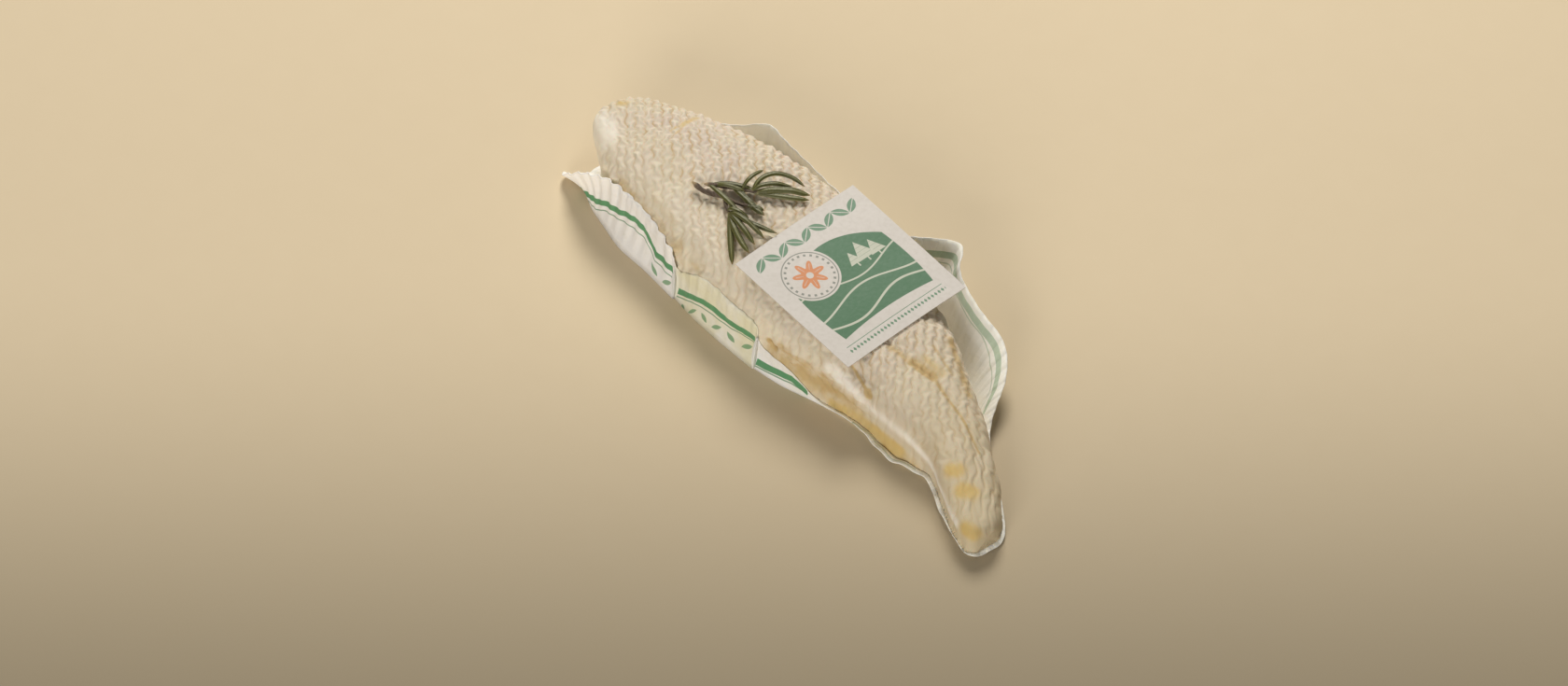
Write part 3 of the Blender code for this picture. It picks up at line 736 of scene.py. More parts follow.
def rind_look(tree, settings):
    """Cream rind with ochre and stained places, a tan band of painted shade beside the paper, tan tint and painted
    shade in the gaps between the stitches, and a paler smooth near side that is partly painted light.
    """
    weave = vector_of(tree, "weave")
    height, side, end, chance, fade = knit(weave)
    brown, yellow, soft = split(vector_of(tree, "tone"))
    cream = number_of(tree, "cream")
    x, _, _ = split(place(tree))
    broad = cloud(tree, 60.0)
    patch = cloud(tree, 190.0, 4.0)
    fine = cloud(tree, 900.0, 4.0, 0.65)
    streaks = cloud(tree, 260.0, 3.0, 0.6, ((0.0, 0.0, COLUMN_TURN), (0.35, 1.4, 0.25)))
    tick = cloud(tree, 0.75, 2.0, 0.5, where=weave).step(0.44, 0.6)
    # Painted shade: the gaps beside and at the ends of the stitches are coloured darker tan, partly the rind's own
    # tint and partly shade painted into the grooves
    gap_tint_and_shade = side.step(0.24, 0.04) * (0.25 + 0.75 * end.step(0.5, 0.15)) * (0.35 + 0.65 * tick)
    gap_tint_and_shade = gap_tint_and_shade * patch.step(0.25, 0.5) * fade * (1 - 0.45 * soft)
    pit_tint_and_shade = end.step(0.18, 0.0) * side.step(0.42, 0.1) * patch.step(0.38, 0.58) * fade * (1 - 0.4 * soft)
    # Ochre: stains of the rind, with the tan band beside the paper on the far side as painted shade
    ochre_and_shade = brown * (0.1 + 0.9 * patch + 0.9 * streaks) + (patch - 0.56) * 0.9 * soft
    base = coats(
        tuple(settings.rind_colour),
        (broad.step(0.35, 0.65), tuple(settings.rind_shade)),
        (x.step(0.02, 0.115) * 0.95, "old rind"),
        ((chance - 0.5) * 0.5 * fade + 0.25, "pale stitch"),
        (cream.step(0.05, 0.8) * 0.9, "cream"),
        # Painted light: the smooth near side is coloured paler, partly its own cream and partly light painted where
        # the fill lamp falls on it
        (soft * 0.55, "lit soft side"),
        (ochre_and_shade.step(0.15, 1.2) * 0.85, "ochre"),
        (brown.step(1.2, 2.2), "brown"),
        ((yellow * (0.4 + 1.2 * streaks)).step(0.15, 1.0) * 0.85, "yellow"),
        (gap_tint_and_shade.most(pit_tint_and_shade * 0.85) * 0.8, "gap_tint_and_shade"),
        (fine.step(0.55, 0.8) * 0.25, "speck"),
    )
    surface = height * fade * 0.8 + streaks * 0.35 * soft + patch * 0.3 + fine * 0.16
    return base, 0.62 + 0.25 * fine - 0.12 * yellow.step(0.2, 1.0), bump(surface, 0.42, 0.0005)


def leaf_row(along, height, pitch, tilt, length, breadth):
    """A row of leaves that lean in turns: how far a point is from its leaf's midrib, and from its edge."""
    cell = along / pitch
    turn = 1 - 2 * cell.floor().modulo(2.0)
    lean = (cell - cell.floor() - 0.5) * pitch
    on = lean * tilt[0] + height * turn * tilt[1]
    off = abs(height * tilt[0] - lean * turn * tilt[1])
    return off, off - breadth * (1 - (on / length) ** 2.0)


def paper_look(tree, settings):
    """Pleated paper with a wide stripe, a thin line, small leaves and greasy places; its inside is painted paler,
    painted light that stands in for light shining through the paper.
    """
    share, run, motif = split(vector_of(tree, "wall"))
    wide, thin, grease = split(vector_of(tree, "stripe"))
    inner = number_of(tree, "inner")
    patch = cloud(tree, 55.0, 4.0, 0.6)
    fine = cloud(tree, 420.0, 4.0, 0.6)
    fibre = cloud(tree, 1600.0, 2.0, 0.5, ((0.3, 0.2, 0.5), (0.3, 1.0, 1.0)))
    _, edge = leaf_row(run, thin + 3.5, 6.0, (0.8, 0.6), 2.2, 0.85)
    leaf = edge.step(0.12, -0.12) * motif
    greasy = (grease * (0.1 + 1.5 * patch) - 0.3 + 0.15 * fine).step(0.0, 0.6)
    shown = 1 - inner * 0.5
    base = coats(
        tuple(settings.paper_colour),
        (greasy, tuple(settings.grease_colour)),
        # Painted light: the inside of the paper is coloured paler to stand in for the light that shines through it
        (inner * 0.85, "painted inner glow"),
        (abs(wide).step(1.3, 1.12) * shown, tuple(settings.stripe_colour)),
        (abs(thin).step(0.32, 0.18) * shown * 0.8, "thin line"),
        (leaf * (1 - inner) * 0.85, "small leaf"),
        (fine.step(0.5, 0.85) * 0.2, "paper fibre"),
    )
    crease = abs((run * (TAU / FLUTE_PITCH)).wave()) ** 0.5
    surface = fine * 0.5 + fibre * 0.25 + patch * 0.4 + crease * share
    return base, 0.62 - 0.22 * greasy, bump(surface, 0.3, 0.0005)


def label_look(tree, settings):
    """Printed card: a field with hills and firs, a disc with a flower, a row of leaves and a dotted rule."""
    u, v, _ = split(Field.node(tree, "ShaderNodeUVMap", {"uv_map": "print"}))
    x, y = u * CARD_SIZE[0], v * CARD_SIZE[1]
    fine = cloud(tree, 700.0)
    arch = 1 - ((x - FIELD_MIDDLE) / 20.0) ** 2.0
    field = abs(x - FIELD_MIDDLE) - (20.6 - 1.6 * ((y - 22.0) / 16.0) ** 2.0)
    field = field.most(8.4 - y + 1.4 * arch).most(y - (33.0 + 8.2 * arch))
    green = field.step(0.1, -0.1)
    across, up = x - DISC_CENTRE[0], y - DISC_CENTRE[1]
    radius = (across * across + up * up) ** 0.5
    angle = up.direction(across)
    petal = (angle * PETALS).wave()
    disc = radius.step(10.3, 10.1)
    ring = abs(radius - 9.3).step(0.26, 0.14)
    beads = ((angle * BEADS).wave() * 0.5 + 0.5).step(0.55, 0.75) * abs(radius - 8.1).step(0.5, 0.36)
    flower = (radius - (4.4 + 1.5 * petal)).step(0.12, -0.12) * radius.step(1.15, 1.35)
    veins = petal.step(0.93, 0.98) * radius.step(2.0, 2.2) * radius.step(4.9, 4.6)
    pale = []
    for height, wave, start, thick in HILLS:
        pale.append(abs(y - height - 2.2 * (x * wave + start).wave()).step(thick, thick - 0.18))
    for centre, foot, tall in FIRS:
        tier = (y - foot) * 0.62
        slope = abs(x - centre) * 1.9 + (y - foot) - tall
        tiers = 1 - 0.45 * (tier - tier.floor()).step(0.86, 0.93)
        pale.append(slope.step(0.15, -0.15) * (y - foot).step(-0.1, 0.1) * tiers)
        pale.append(abs(x - centre).step(0.34, 0.22) * abs(y - foot + 0.7).step(0.9, 0.7))
    drawn = reduce(Field.most, pale)
    rib, edge = leaf_row(x - 3.3, y - 47.2, 5.05, (0.77, 0.64), 3.3, 1.45)
    leaves = edge.step(0.1, -0.1) * rib.step(0.1, 0.18) * abs(x - 26.0).step(22.6, 22.4)
    dash = (x / 1.5 - (x / 1.5).floor() - 0.5) * 1.5
    dots = (abs(dash) + abs(y - 3.9) * 0.7).step(0.62, 0.48)
    rule = dots.most(abs(y - 5.8).step(0.17, 0.08)) * abs(x - 26.0).step(21.2, 21.0)
    card = blend(fine.step(0.4, 0.75) * 0.3, tuple(settings.card_colour), TONES["card fibre"])
    ink = blend(fine.step(0.4, 0.7) * 0.35, tuple(settings.field_colour), TONES["deep ink"])
    base = coats(
        card,
        (green, ink),
        (green * drawn * 0.85, "pale print"),
        (disc, card),
        (disc * ring.most(beads) * 0.8, "ring ink"),
        (disc * flower * (1 - 0.5 * veins), tuple(settings.flower_colour)),
        (leaves.most(rule) * (1 - disc), "border ink"),
    )
    return base, 0.42 + 0.12 * fine, bump(fine, 0.12, 0.0003)


def leaf_look(tree, settings):
    """Olive needle with a pale midrib and edge, a paler underside and a dry tip."""
    across, along, hue, under = (number_of(tree, name) for name in ("across", "along", "hue", "under"))
    fine = cloud(tree, 1500.0)
    soft = cloud(tree, 300.0)
    base = coats(
        tuple(settings.leaf_colour),
        (hue * 0.6 + soft * 0.4, "dark leaf"),
        (abs(across).step(0.2, 0.04) * 0.6, "midrib"),
        (abs(across).step(0.84, 0.98) * 0.5, "leaf edge"),
        (under * 0.8, "leaf underside"),
        (along.step(0.93, 1.0) * 0.8, "dry tip"),
        (along.step(0.08, 0.0) * 0.6, "leaf base"),
    )
    return base, 0.34 + 0.3 * fine, bump(fine + soft, 0.3, 0.0004)


def stem_look(tree, settings):
    """Streaked bark with a pale cut at its root."""
    bark = cloud(tree, 700.0, 4.0, 0.65, ((0.0, 0.0, BARK_TURN), (0.3, 1.3, 1.3)))
    fine = cloud(tree, 2400.0)
    base = coats(
        tuple(settings.stem_colour),
        (bark.step(0.38, 0.62), "dark bark"),
        (fine.step(0.55, 0.8) * 0.5, "light bark"),
        (number_of(tree, "along").step(0.12, 0.04) * 0.8, "cut wood"),
    )
    return base, 0.7 + 0.2 * fine, bump(bark + 0.4 * fine, 0.7, 0.0005)


def floor_look(tree, settings):
    """Plain floor with painted shade that darkens it towards the camera, standing in for the light falling off
    there.
    """
    x, y, _ = split(place(tree))
    ahead = x * LOOK_ALONG.x + y * LOOK_ALONG.y
    fine = cloud(tree, 90.0)
    base = coats(
        tuple(settings.floor_colour),
        # Painted shade: the floor is coloured darker towards the camera
        (ahead.step(0.03, -0.20), tuple(settings.near_shade_colour)),
        (fine * 0.06, "floor grain"),
    )
    return base, 0.7 + 0.1 * fine


def colour(name, description, *value):
    return bpy.props.FloatVectorProperty(
        name=name, description=description, subtype="COLOR", size=4, default=paint(*value)
    )


def size(name, description, value):
    """Length setting, given in millimetres."""
    return bpy.props.FloatProperty(name=name, description=description, default=value * MM, unit="LENGTH")


def power(name, description, value):
    return bpy.props.FloatProperty(name=name, description=description, default=value, unit="POWER")


class RindSettings(bpy.types.PropertyGroup):
    column_pitch: size("Column pitch", "Distance between columns of stitches", 3.05)
    stitch_length: size("Stitch length", "Length of one stitch along its column", 4.9)
    stitch_depth: size("Stitch depth", "Height of a stitch over the gap beside it", 0.7)
    rind_colour: colour("Rind", "Colour of the rind", 214, 200, 184)
    rind_shade: colour("Rind shade", "Second colour of the rind", 216, 204, 180)


class CaseSettings(bpy.types.PropertyGroup):
    flute_depth: size("Flute depth", "How far the pleats stand out at the rim", 0.6)
    paper_colour: colour("Paper", "Colour of the dry paper", 247, 244, 241)
    grease_colour: colour("Greasy paper", "Colour of the paper that fat has soaked", 232, 227, 197)
    stripe_colour: colour("Stripe", "Colour of the printed stripe", 98, 156, 112)


class LabelSettings(bpy.types.PropertyGroup):
    card_colour: colour("Card", "Colour of the unprinted card", 208, 202, 194)
    field_colour: colour("Field", "Colour of the printed field", 46, 104, 62)
    flower_colour: colour("Flower", "Colour of the printed flower", 208, 130, 72)


class SprigSettings(bpy.types.PropertyGroup):
    leaf_width: bpy.props.FloatProperty(
        name="Leaf width factor", description="Width of each leaf against its listed width", default=1.0,
        subtype="FACTOR",
    )
    leaf_colour: colour("Leaf", "Colour of the leaves", 86, 86, 33)
    stem_colour: colour("Stem", "Colour of the stems", 112, 98, 84)


class StageSettings(bpy.types.PropertyGroup):
    floor_colour: colour("Floor", "Colour of the floor", 222, 205, 174)
    # Painted shade: the darker colour of the floor on the camera's side
    near_shade_colour: colour("Near floor", "Colour of the floor on the camera's side", 150, 138, 115)
    key_power: power("Key light", "Power of the light behind the object", 16.4)
    fill_power: power("Fill light", "Power of the light on the camera's side", 26.5)


GROUPS = {
    "cheese_rind": RindSettings,
    "cheese_case": CaseSettings,
    "cheese_label": LabelSettings,
    "cheese_sprig": SprigSettings,
    "cheese_stage": StageSettings,
}


class CHEESE_OT_rind(bpy.types.Operator):
    """Builds the cheese with the knitted cloth pressed into its rind"""

    bl_idname = "cheese.rind"
    bl_label = "Cheese rind"

    def execute(self, context):
        settings = context.scene.cheese_rind
        rings, ways = cheese_grid()
        count = len(rings)
        points = np.concatenate((rings.reshape(-1, 3), [rings[0].mean(axis=0), rings[-1].mean(axis=0)]))
        faces = ring_faces(count, SPOKES)
        fat, tail, last = count * SPOKES, count * SPOKES + 1, (count - 1) * SPOKES
        for k in range(SPOKES):
            n = (k + 1) % SPOKES
            faces += [(fat, n, k), (tail, last + k, last + n)]
        obj = new_object("cheese_skin", points, faces)
        self.mark(obj.data, points, ways, settings)
        constants = {"Specular_IOR_Level": 0.35, "Subsurface_Weight": 0.08, "Subsurface_Scale": 0.002}
        material = look("knit pressed rind", rind_look, settings, **constants)
        grow(obj, rind_tree(), {"Stitch depth": settings.stitch_depth, "Material": material})
        self.press_label(obj.data)
        settle(obj, "cheese_log")
        return {"FINISHED"}

    def mark(self, mesh, points, ways, settings):
        """Stores where the stitches run, how far folds draw the skin in, and where it is stained."""
        normals = np.empty(len(points) * 3, dtype=np.float32)
        mesh.vertex_normals.foreach_get("vector", normals)
        normals = normals.reshape(-1, 3)
        x, sideways, upward = points[:, 0], normals[:, 1], normals[:, 2]
        way = np.concatenate((ways.ravel(), (0.0, 0.0)))
        across = points @ COLUMN_ACROSS / (settings.column_pitch / MM) + drift(points, COLUMN_DRIFTS)
        along = (x * COLUMN_ACROSS[1] - way * COLUMN_ACROSS[0]) / (settings.stitch_length / MM)
        along = along + drift(points, ROW_DRIFTS)
        cream, brown, yellow = (marked(points, marks) for marks in (CREAM_MARKS, BROWN_MARKS, YELLOW_MARKS))
        # The smooth near side: its knit is fainter, and its colour is painted paler, partly as painted light
        soft = smooth(0.0, -0.7, sideways) * smooth(48.0, 16.0, x)
        fade = smooth(-0.25, 0.3, upward)
        for lost, start, end in TAIL_FADES:
            fade = fade * (1 - lost * smooth(start, end, x))
        fade = fade * (1 - 0.8 * np.clip(cream, 0, 1)) * (1 - 0.3 * soft) * (1 - 0.7 * np.clip(yellow, 0, 1))
        drop = np.where(upward > 0, crease_depth(points), 0.0)
        drop += HOLLOW[3] * reach(points, *HOLLOW[:3])
        drop -= RIDGE[3] * reach(points, *RIDGE[:3])
        folds = np.abs(grain(points * WRINKLE_SQUASH, *WRINKLE_GRAIN))
        drop += WRINKLES[3] * (WRINKLE_LEVEL - folds) * reach(points, *WRINKLES[:3])
        drop -= drift(points, LUMPS) * (1 - smooth(0.0, -0.6, upward))
        weave, tone = np.stack((across, along, fade), axis=1), np.stack((brown, yellow, soft), axis=1)
        store(mesh, weave=weave, tone=tone, cream=cream, drop=drop)

    def press_label(self, mesh):
        """Flattens the skin where the label lies."""
        points = points_of(mesh)
        shares = np.stack(label_place(points[:, 0], points[:, 1]))
        inside = np.all((shares > -LABEL_MARGIN) & (shares < 1 + LABEL_MARGIN), axis=0)
        limit = label_height(points[:, 0], points[:, 1]) - GAP - label_sag(shares[1])
        points[:, 2] = np.where(inside, np.minimum(points[:, 2], limit), points[:, 2])
        put_points(mesh, points)


def skin_tree():
    """Search tree of the finished cheese, in millimetres."""
    mesh = bpy.data.objects["cheese_skin"].data
    return BVHTree.FromPolygons([tuple(p) for p in points_of(mesh)], [tuple(f.vertices) for f in mesh.polygons])


def case_columns():
    """Columns of the case's wall: station, floor point, rim point and the phase of the pleat in half turns."""
    count = len(CASE_STATIONS)
    columns = []
    half = 0
    for i in range(count):
        four = [np.array(CASE_STATIONS[(i + k) % count]) for k in (-1, 0, 1, 2)]
        length = math.dist(four[1][2:4], four[2][2:4])
        parts = max(1, round(2 * length / FLUTE_PITCH))
        for part in range(parts * COLUMN_PARTS):
            share = part / (parts * COLUMN_PARTS)
            x, y, rim_x, rim_y, rim_z = hermite(*four, share)
            columns.append((i + share, (x, y, 0.0), (rim_x, rim_y, max(rim_z, LEAST_RIM)), half + share * parts))
        half += parts
    return columns


def print_runs(station, length, share):
    """Distances from the wide stripe and the thin line, in millimetres along the wall."""
    for run in PRINT_RUNS:
        if run[0][0] <= station <= run[-1][0]:
            places = [row[0] for row in run]
            wide, thin = (np.interp(station, places, [row[k] for row in run]) for k in (1, 2))
            return (share - wide) * length, (share - thin) * length
    return UNPRINTED, UNPRINTED


class CHEESE_OT_case(bpy.types.Operator):
    """Builds the pleated paper case round the cheese"""

    bl_idname = "cheese.case"
    bl_label = "Paper case"

    def execute(self, context):
        settings = context.scene.cheese_case
        columns = case_columns()
        stations = [c[0] for c in columns]
        feet = np.array([c[1] for c in columns])
        rims = np.array([c[2] for c in columns])
        outward = np.cross(np.roll(rims, -1, axis=0) - np.roll(rims, 1, axis=0), rims - feet)
        outward /= np.linalg.norm(outward, axis=1)[:, None]
        along = np.concatenate(((0,), np.cumsum(np.linalg.norm(np.diff(rims, axis=0), axis=1))))
        grease = np.interp(stations, *zip(*GREASY_RUNS))
        fluted = np.interp(stations, *zip(*FLUTE_RUNS))
        points, wall, stripe, phase, pleat = [], [], [], [], []
        for share in np.linspace(0, 1, WALL_ROWS) ** ROW_POWER:
            points.append(feet + (rims - feet) * share + outward * WALL_BULGE * math.sin(math.pi * share))
            for i, (station, foot, rim, half) in enumerate(columns):
                motif = 1.0 if MOTIF_RUN[0] < station < MOTIF_RUN[1] else 0.0
                wall.append((share, along[i], motif))
                stripe.append((*print_runs(station, math.dist(foot, rim), share), grease[i]))
                phase.append(half)
                pleat.append(fluted[i] * share)
        faces = ring_faces(WALL_ROWS, len(columns), inward=True)
        obj = new_object("case_paper", np.concatenate(points), faces)
        store(obj.data, wall=wall, stripe=stripe, phase=phase, pleat=pleat)
        constants = {"Specular_IOR_Level": 0.4, "Subsurface_Weight": 0.6, "Subsurface_Scale": 0.0004}
        constants["Subsurface_Radius"] = (1.0, 0.95, 0.85)
        material = look("pleated case paper", paper_look, settings, **constants)
        grow(obj, case_tree(), {"Flute depth": settings.flute_depth, "Material": material})
        self.fit(obj.data, len(columns))
        self.fill(obj.data)
        settle(obj, "paper_case")
        return {"FINISHED"}

    def fit(self, mesh, count):
        """Crumples the wall, pushes it clear of the cheese, adds the floor and gives the paper its thickness."""
        skin = skin_tree()
        shape = bmesh.new()
        shape.from_mesh(mesh)
        bmesh.ops.scale(shape, vec=(1 / MM,) * 3, verts=shape.verts)
        inner = shape.verts.layers.float.new("inner")
        shape.verts.ensure_lookup_table()
        shape.normal_update()
        wall = shape.verts.layers.float_vector["wall"]
        for v in shape.verts:
            share, way, _ = v[wall]
            out = sum(depth * noise.noise(v.co / pitch) for depth, pitch in CRUMPLES)
            out += SCALLOP * math.sin(TAU * way / SCALLOP_PITCH) * float(smooth(*SCALLOP_RUN, way))
            v.co += v.normal * share * out
            hit, normal, _, _ = skin.find_nearest(v.co)
            clear = (v.co - hit).dot(normal)
            if clear < WALL_CLEARANCE:
                v.co += normal * (WALL_CLEARANCE - clear)
            v.co.z = 0.0 if share == 0 else max(v.co.z, 0.0)
        floor = shape.faces.new([shape.verts[i] for i in range(count)])
        bmesh.ops.triangulate(shape, faces=[floor], ngon_method="BEAUTY")
        bmesh.ops.recalc_face_normals(shape, faces=shape.faces)
        if max(shape.faces, key=lambda f: f.calc_area()).normal.z > 0:
            bmesh.ops.reverse_faces(shape, faces=shape.faces)
        shape.normal_update()
        outside, faces, rim = list(shape.verts), list(shape.faces), [e for e in shape.edges if e.is_boundary]
        inside = {}
        for v in outside:
            spot = v.co - v.normal * PAPER
            inside[v] = shape.verts.new((spot.x, spot.y, max(spot.z, LEAST_HEIGHT)), v)
            inside[v][inner] = 1.0
        for f in faces:
            shape.faces.new([inside[v] for v in reversed(f.verts)])
        for e in rim:
            a, b = e.link_loops[0].vert, e.link_loops[0].link_loop_next.vert
            shape.faces.new((b, a, inside[a], inside[b]))
        for f in shape.faces:
            f.smooth = any(v[wall].x > 0 for v in f.verts)
        bmesh.ops.scale(shape, vec=(MM, MM, MM), verts=shape.verts)
        shape.to_mesh(mesh)
        shape.free()

    def fill(self, paper):
        """Lets the soft cheese swell out to the paper that holds it, and keeps it inside."""
        inner = np.empty(len(paper.vertices), dtype=np.float32)
        paper.attributes["inner"].data.foreach_get("value", inner)
        faces = [tuple(f.vertices) for f in paper.polygons if all(inner[v] > 0.5 for v in f.vertices)]
        sheet = BVHTree.FromPolygons([tuple(p) for p in points_of(paper)], faces)
        mesh = bpy.data.objects["cheese_skin"].data
        points = points_of(mesh)
        for i in np.flatnonzero(points[:, 2] < SWELL_TOP):
            here = Vector(points[i])
            hit, normal, _, gap = sheet.find_nearest(here, SWELL_REACH)
            if hit is None:
                continue
            lean = (here - hit).dot(normal)
            beside = math.sqrt(max(0.0, gap * gap - lean * lean))
            share = float(smooth(SWELL_REACH, SWELL_FULL, abs(lean)) * smooth(BESIDE_REACH, 0.0, beside))
            points[i] += (CONTACT - lean) * share * normal
        put_points(mesh, points)


class CHEESE_OT_label(bpy.types.Operator):
    """Builds the printed card label on the cheese"""

    bl_idname = "cheese.label"
    bl_label = "Card label"

    def execute(self, context):
        cells = LABEL_CELLS
        shares = np.linspace(0, 1, cells + 1)
        along, across = (grid.ravel() for grid in np.meshgrid(shares, shares, indexing="ij"))
        normal = np.cross(LABEL_TAILWARD, LABEL_FARWARD)
        normal /= np.linalg.norm(normal)
        under = LABEL_CORNER + along[:, None] * LABEL_TAILWARD + across[:, None] * LABEL_FARWARD
        under[:, 2] -= label_sag(across)
        under[:, 2] += CARD_WAVE * (1 + grain(under, 17.0, seed=5.1))
        points = np.concatenate((under, under + normal * CARD))
        side, total = cells + 1, (cells + 1) ** 2
        faces = []
        for i in range(cells):
            for j in range(cells):
                a, b = i * side + j, (i + 1) * side + j
                faces.append((a + total, b + total, b + 1 + total, a + 1 + total))
                faces.append((a + 1, b + 1, b, a))
        rim = [i * side for i in range(cells)] + [cells * side + j for j in range(cells)]
        rim += [(cells - i) * side + cells for i in range(cells)] + [cells - j for j in range(cells)]
        for a, b in zip(rim, rim[1:] + rim[:1]):
            faces.append((a, b, b + total, a + total))
        obj = new_object("label_card", points, faces)
        mesh = obj.data
        corners = np.empty(len(mesh.loops), dtype=np.int32)
        mesh.loops.foreach_get("vertex_index", corners)
        spots = np.stack((np.tile(across, 2), 1 - np.tile(along, 2)), axis=1)
        mesh.uv_layers.new(name="print").data.foreach_set("uv", spots[corners].ravel().astype(np.float32))
        mesh.shade_smooth()
        mesh.set_sharp_from_angle(angle=SHARP_ANGLE)
        settings = context.scene.cheese_label
        mesh.materials.append(look("printed label card", label_look, settings, Specular_IOR_Level=0.45))
        settle(obj, "label")
        return {"FINISHED"}


def path_point(points, share):
    """Point at a share of a plan path, by length."""
    lengths = [math.dist(a, b) for a, b in zip(points, points[1:])]
    left = share * sum(lengths)
    for a, b, length in zip(points, points[1:], lengths):
        if left <= length:
            return Vector(a).lerp(Vector(b), left / length)
        left -= length
    return Vector(points[-1])


def ground(skin, plan, width):
    """Highest skin within reach of a plan point."""
    heights = []
    for dx, dy in ((0, 0), (width, 0), (-width, 0), (0, width), (0, -width)):
        hit, _, _, _ = skin.ray_cast(Vector((plan.x + dx, plan.y + dy, 100.0)), Vector((0, 0, -1)))
        heights.append(hit.z)
    return max(heights)


def stem_root(skin, plan, width):
    """Height of a stem's axis over a plan point."""
    return ground(skin, plan, width / 2) + GAP + STEM_LIFT + width / 2


def even(line, count):
    """The same number of points at even distances along a line, smoothed."""
    steps = np.linalg.norm(np.diff(line, axis=0), axis=1)
    counted = np.concatenate(((0,), np.cumsum(steps)))
    wanted = np.linspace(0, counted[-1], count)
    spread = np.stack([np.interp(wanted, counted, line[:, k]) for k in range(3)], axis=1)
    for _ in range(2):
        spread[1:-1] = (spread[:-2] + 2 * spread[1:-1] + spread[2:]) / 4
    return spread


def leaf_line(skin, stem, share, first, last, length, lift, width):
    """Centre line of a leaf: it starts in its stem's axis, turns evenly and rises towards its tip."""
    points, stem_width = STEMS[stem]
    plan = path_point(points, share)
    parts = LEAF_RINGS - 1
    line = [(plan.x, plan.y, stem_root(skin, plan, stem_width))]
    for i in range(1, LEAF_RINGS):
        heading = math.radians(first + (last - first) * (i - 0.5) / parts)
        plan = plan + Vector((math.cos(heading), math.sin(heading))) * (length / parts)
        low = ground(skin, plan, width / 2) + GAP + width * LEAF_THICKNESS / 2
        arch = lift * math.sin(math.pi * min(1.0, ARCH_START + ARCH_SPAN * i / parts))
        line.append((plan.x, plan.y, low + arch))
    return even(np.array(line), LEAF_POINTS)


def strand_tree(name, flat):
    """Sweeps a section along each line: a grooved leaf section where flat is less than 1, or a round stem."""
    tree, entry = geometry_tree(name)
    leafy = 1.0 if flat < 1 else 0.0
    curve = Field.node(tree, "GeometryNodeMeshToCurve", inputs={"Mesh": entry["Geometry"]})
    curve = Field.node(tree, "GeometryNodeSetCurveNormal", {"mode": "Z_UP"}, {"Curve": curve})
    circle = {"Resolution": SECTION_SIDES, "Radius": 1.0}
    section = Field.node(tree, "GeometryNodeCurvePrimitiveCircle", inputs=circle)
    x, y, _ = split(Field.node(tree, "GeometryNodeInputPosition"))
    groove = abs(x).step(0.34, 0.0) * y.step(0.0, 0.3) * (GROOVE * leafy)
    rolled = abs(x).step(0.6, 1.0) * (ROLLED_EDGE * leafy)
    shaped = join(x * -1.0, groove + rolled - y * flat)
    for label, value in (("across", x), ("under", y.step(-0.1, -0.5) * leafy)):
        settings = {"data_type": "FLOAT", "domain": "POINT"}
        inputs = {"Geometry": section, "Name": label, "Value": value}
        section = Field.node(tree, "GeometryNodeStoreNamedAttribute", settings, inputs)
    section = Field.node(tree, "GeometryNodeSetPosition", inputs={"Geometry": section, "Position": shaped})
    inputs = {"Curve": curve, "Profile Curve": section, "Scale": named_field(tree, "half_width"), "Fill Caps": True}
    return end_tree(tree, Field.node(tree, "GeometryNodeCurveToMesh", inputs=inputs), entry)


def strands(name, lines, widths, hues, tree, material):
    """A finished piece of the sprig, of strands swept along their centre lines with their half widths."""
    count = len(lines[0])
    edges = [(i * count + k, i * count + k + 1) for i in range(len(lines)) for k in range(count - 1)]
    obj = new_object(name, np.concatenate(lines), [], edges)
    along = np.tile(np.linspace(0, 1, count), len(lines))
    store(obj.data, half_width=np.concatenate(widths) * MM, along=along, hue=np.repeat(hues, count))
    grow(obj, tree, {"Material": material})
    settle(obj, "rosemary_sprig")


class CHEESE_OT_sprig(bpy.types.Operator):
    """Builds the rosemary sprig: its stems and its leaves"""

    bl_idname = "cheese.sprig"
    bl_label = "Rosemary sprig"

    def execute(self, context):
        settings = context.scene.cheese_sprig
        skin = skin_tree()
        chance = np.random.default_rng(STEM_SEED)
        lines, widths = [], []
        shares = np.linspace(0, 1, STEM_POINTS)
        for points, width in STEMS.values():
            count = 2 * len(points)
            plans = [path_point(points, i / count) for i in range(count + 1)]
            line = np.array([(p.x, p.y, stem_root(skin, p, width)) for p in plans])
            lines.append(even(line, STEM_POINTS))
            knots = 1 + KNOTS * np.sin(KNOT_TURN * shares) + BARK_ROUGHNESS * chance.standard_normal(STEM_POINTS)
            torn = TORN_END + (1 - TORN_END) * smooth(0.0, TORN_RUN, shares)
            widths.append(width / 2 * (1 - STEM_TAPER * shares) * knots * torn)
        bark = look("rosemary bark", stem_look, settings, Specular_IOR_Level=0.3)
        strands("sprig_stems", lines, widths, chance.random(len(lines)), strand_tree("stem", 1.0), bark)
        lines = [leaf_line(skin, *leaf) for leaf in LEAVES]
        shares = np.linspace(0, 1, LEAF_POINTS)
        body = LEAF_BASE + (1 - LEAF_BASE) * np.sin(math.pi * np.clip(BELLY_START + BELLY_SPAN * shares, 0, 1))
        tip = np.sqrt(np.clip(1 - smooth(*TIP_RUN, shares), TIP_LEAST, 1))
        widths = [leaf[6] / 2 * body * tip * settings.leaf_width for leaf in LEAVES]
        skin_look = look("rosemary leaf", leaf_look, settings, Specular_IOR_Level=0.5)
        tree = strand_tree("leaf", LEAF_THICKNESS)
        strands("sprig_leaves", lines, widths, chance.random(len(lines)), tree, skin_look)
        return {"FINISHED"}


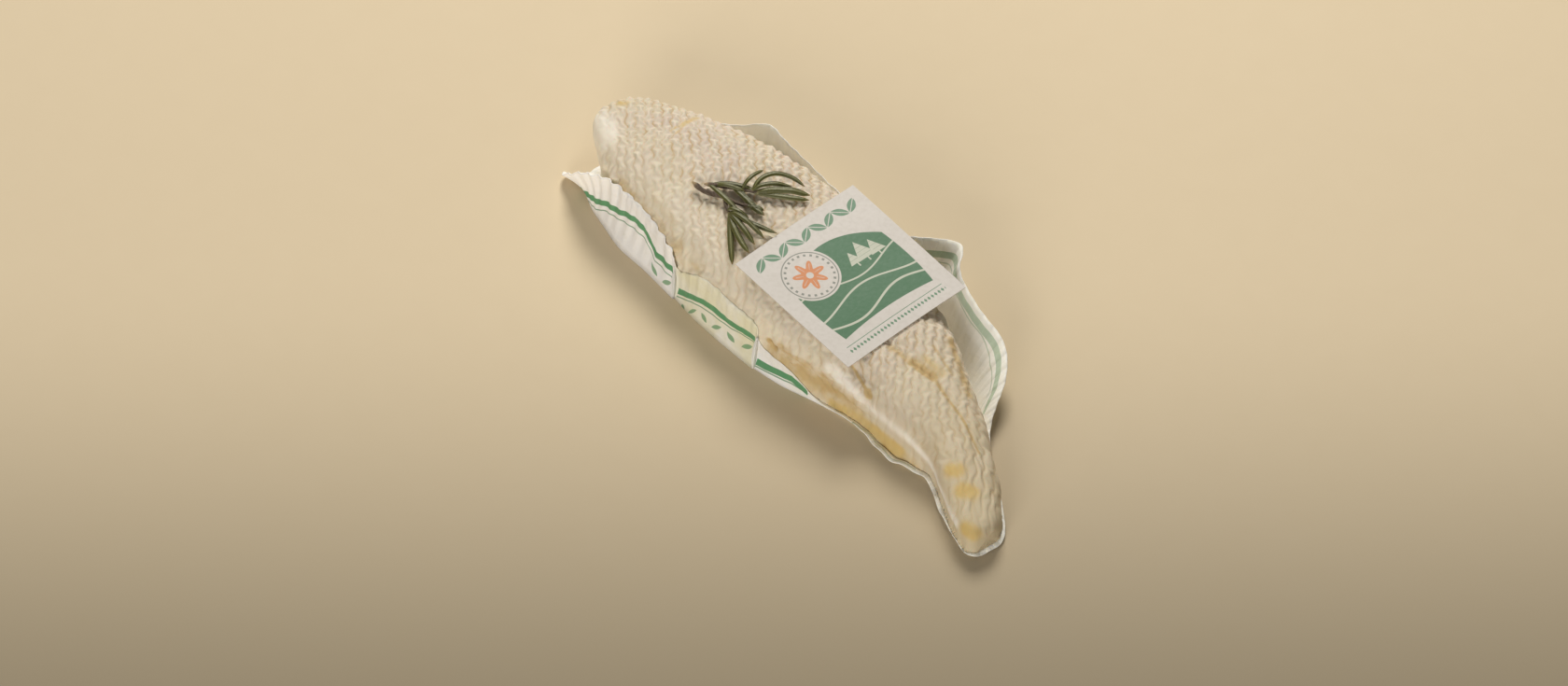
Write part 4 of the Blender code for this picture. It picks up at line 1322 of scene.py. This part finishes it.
class CHEESE_OT_stage(bpy.types.Operator):
    """Sets out the floor, the lights and the camera"""

    bl_idname = "cheese.stage"
    bl_label = "Floor, lights and camera"

    def execute(self, context):
        settings = context.scene.cheese_stage
        turns = np.linspace(0, TAU, FLOOR_SIDES, endpoint=False)
        circle = np.stack((np.cos(turns), np.sin(turns), np.zeros(FLOOR_SIDES)), axis=1)
        points = np.concatenate([circle * radius for radius in FLOOR_RADII])
        faces = [tuple(range(FLOOR_SIDES)), *ring_faces(len(FLOOR_RADII), FLOOR_SIDES, inward=True)]
        floor = new_object("floor", points, faces)
        floor.data.materials.append(look("plain floor", floor_look, settings, Specular_IOR_Level=0.2))
        ahead = LOOK_ALONG.normalized()
        down = ahead * math.cos(CAMERA_HEIGHT_ANGLE) - Vector((0, 0, math.sin(CAMERA_HEIGHT_ANGLE)))
        view = bpy.data.cameras.new("photo camera")
        view.lens = LENS
        context.scene.camera = self.aim(context, "photo camera", view, AIM - down * CAMERA_DISTANCE)
        right = Vector((ahead.y, -ahead.x, 0))
        for name, spot, wide, energy in (("key", *KEY, settings.key_power), ("fill", *FILL, settings.fill_power)):
            lamp = bpy.data.lights.new(name, "AREA")
            lamp.size, lamp.energy, lamp.color = wide, energy, LIGHT_COLOUR
            self.aim(context, name, lamp, AIM + ahead * spot[0] + right * spot[1] + Vector((0, 0, spot[2])))
        world = bpy.data.worlds.new("studio")
        context.scene.world = world
        world.use_nodes = True
        sky = world.node_tree.nodes["Background"]
        sky.inputs["Color"].default_value = (*LIGHT_COLOUR, 1.0)
        sky.inputs["Strength"].default_value = SKY_STRENGTH
        context.scene.view_settings.view_transform = "Standard"
        return {"FINISHED"}

    def aim(self, context, name, data, where):
        """Puts a camera or a light at a point, turned to what it looks at."""
        obj = bpy.data.objects.new(name, data)
        obj.location = where
        obj.rotation_euler = (AIM - where).to_track_quat("-Z", "Y").to_euler()
        context.scene.collection.objects.link(obj)
        return obj


OPERATORS = (CHEESE_OT_rind, CHEESE_OT_case, CHEESE_OT_label, CHEESE_OT_sprig, CHEESE_OT_stage)


class CHEESE_PT_panel(bpy.types.Panel):
    """Lists the pieces and their settings"""

    bl_idname = "CHEESE_PT_panel"
    bl_label = "Goat cheese"
    bl_space_type = "VIEW_3D"
    bl_region_type = "UI"
    bl_category = "Goat cheese"

    def draw(self, context):
        for operator, (name, group) in zip(OPERATORS, GROUPS.items()):
            box = self.layout.box()
            box.operator(operator.bl_idname)
            for key in group.__annotations__:
                box.prop(getattr(context.scene, name), key)


def register():
    for name, group in GROUPS.items():
        bpy.utils.register_class(group)
        setattr(bpy.types.Scene, name, bpy.props.PointerProperty(type=group))
    for made in (*OPERATORS, CHEESE_PT_panel):
        bpy.utils.register_class(made)


def unregister():
    for made in (CHEESE_PT_panel, *reversed(OPERATORS)):
        bpy.utils.unregister_class(made)
    for name, group in GROUPS.items():
        delattr(bpy.types.Scene, name)
        bpy.utils.unregister_class(group)


def main():
    register()
    bpy.ops.cheese.stage()
    bpy.ops.cheese.rind()
    bpy.ops.cheese.case()
    bpy.ops.cheese.label()
    bpy.ops.cheese.sprig()


if __name__ == "__main__":
    main()
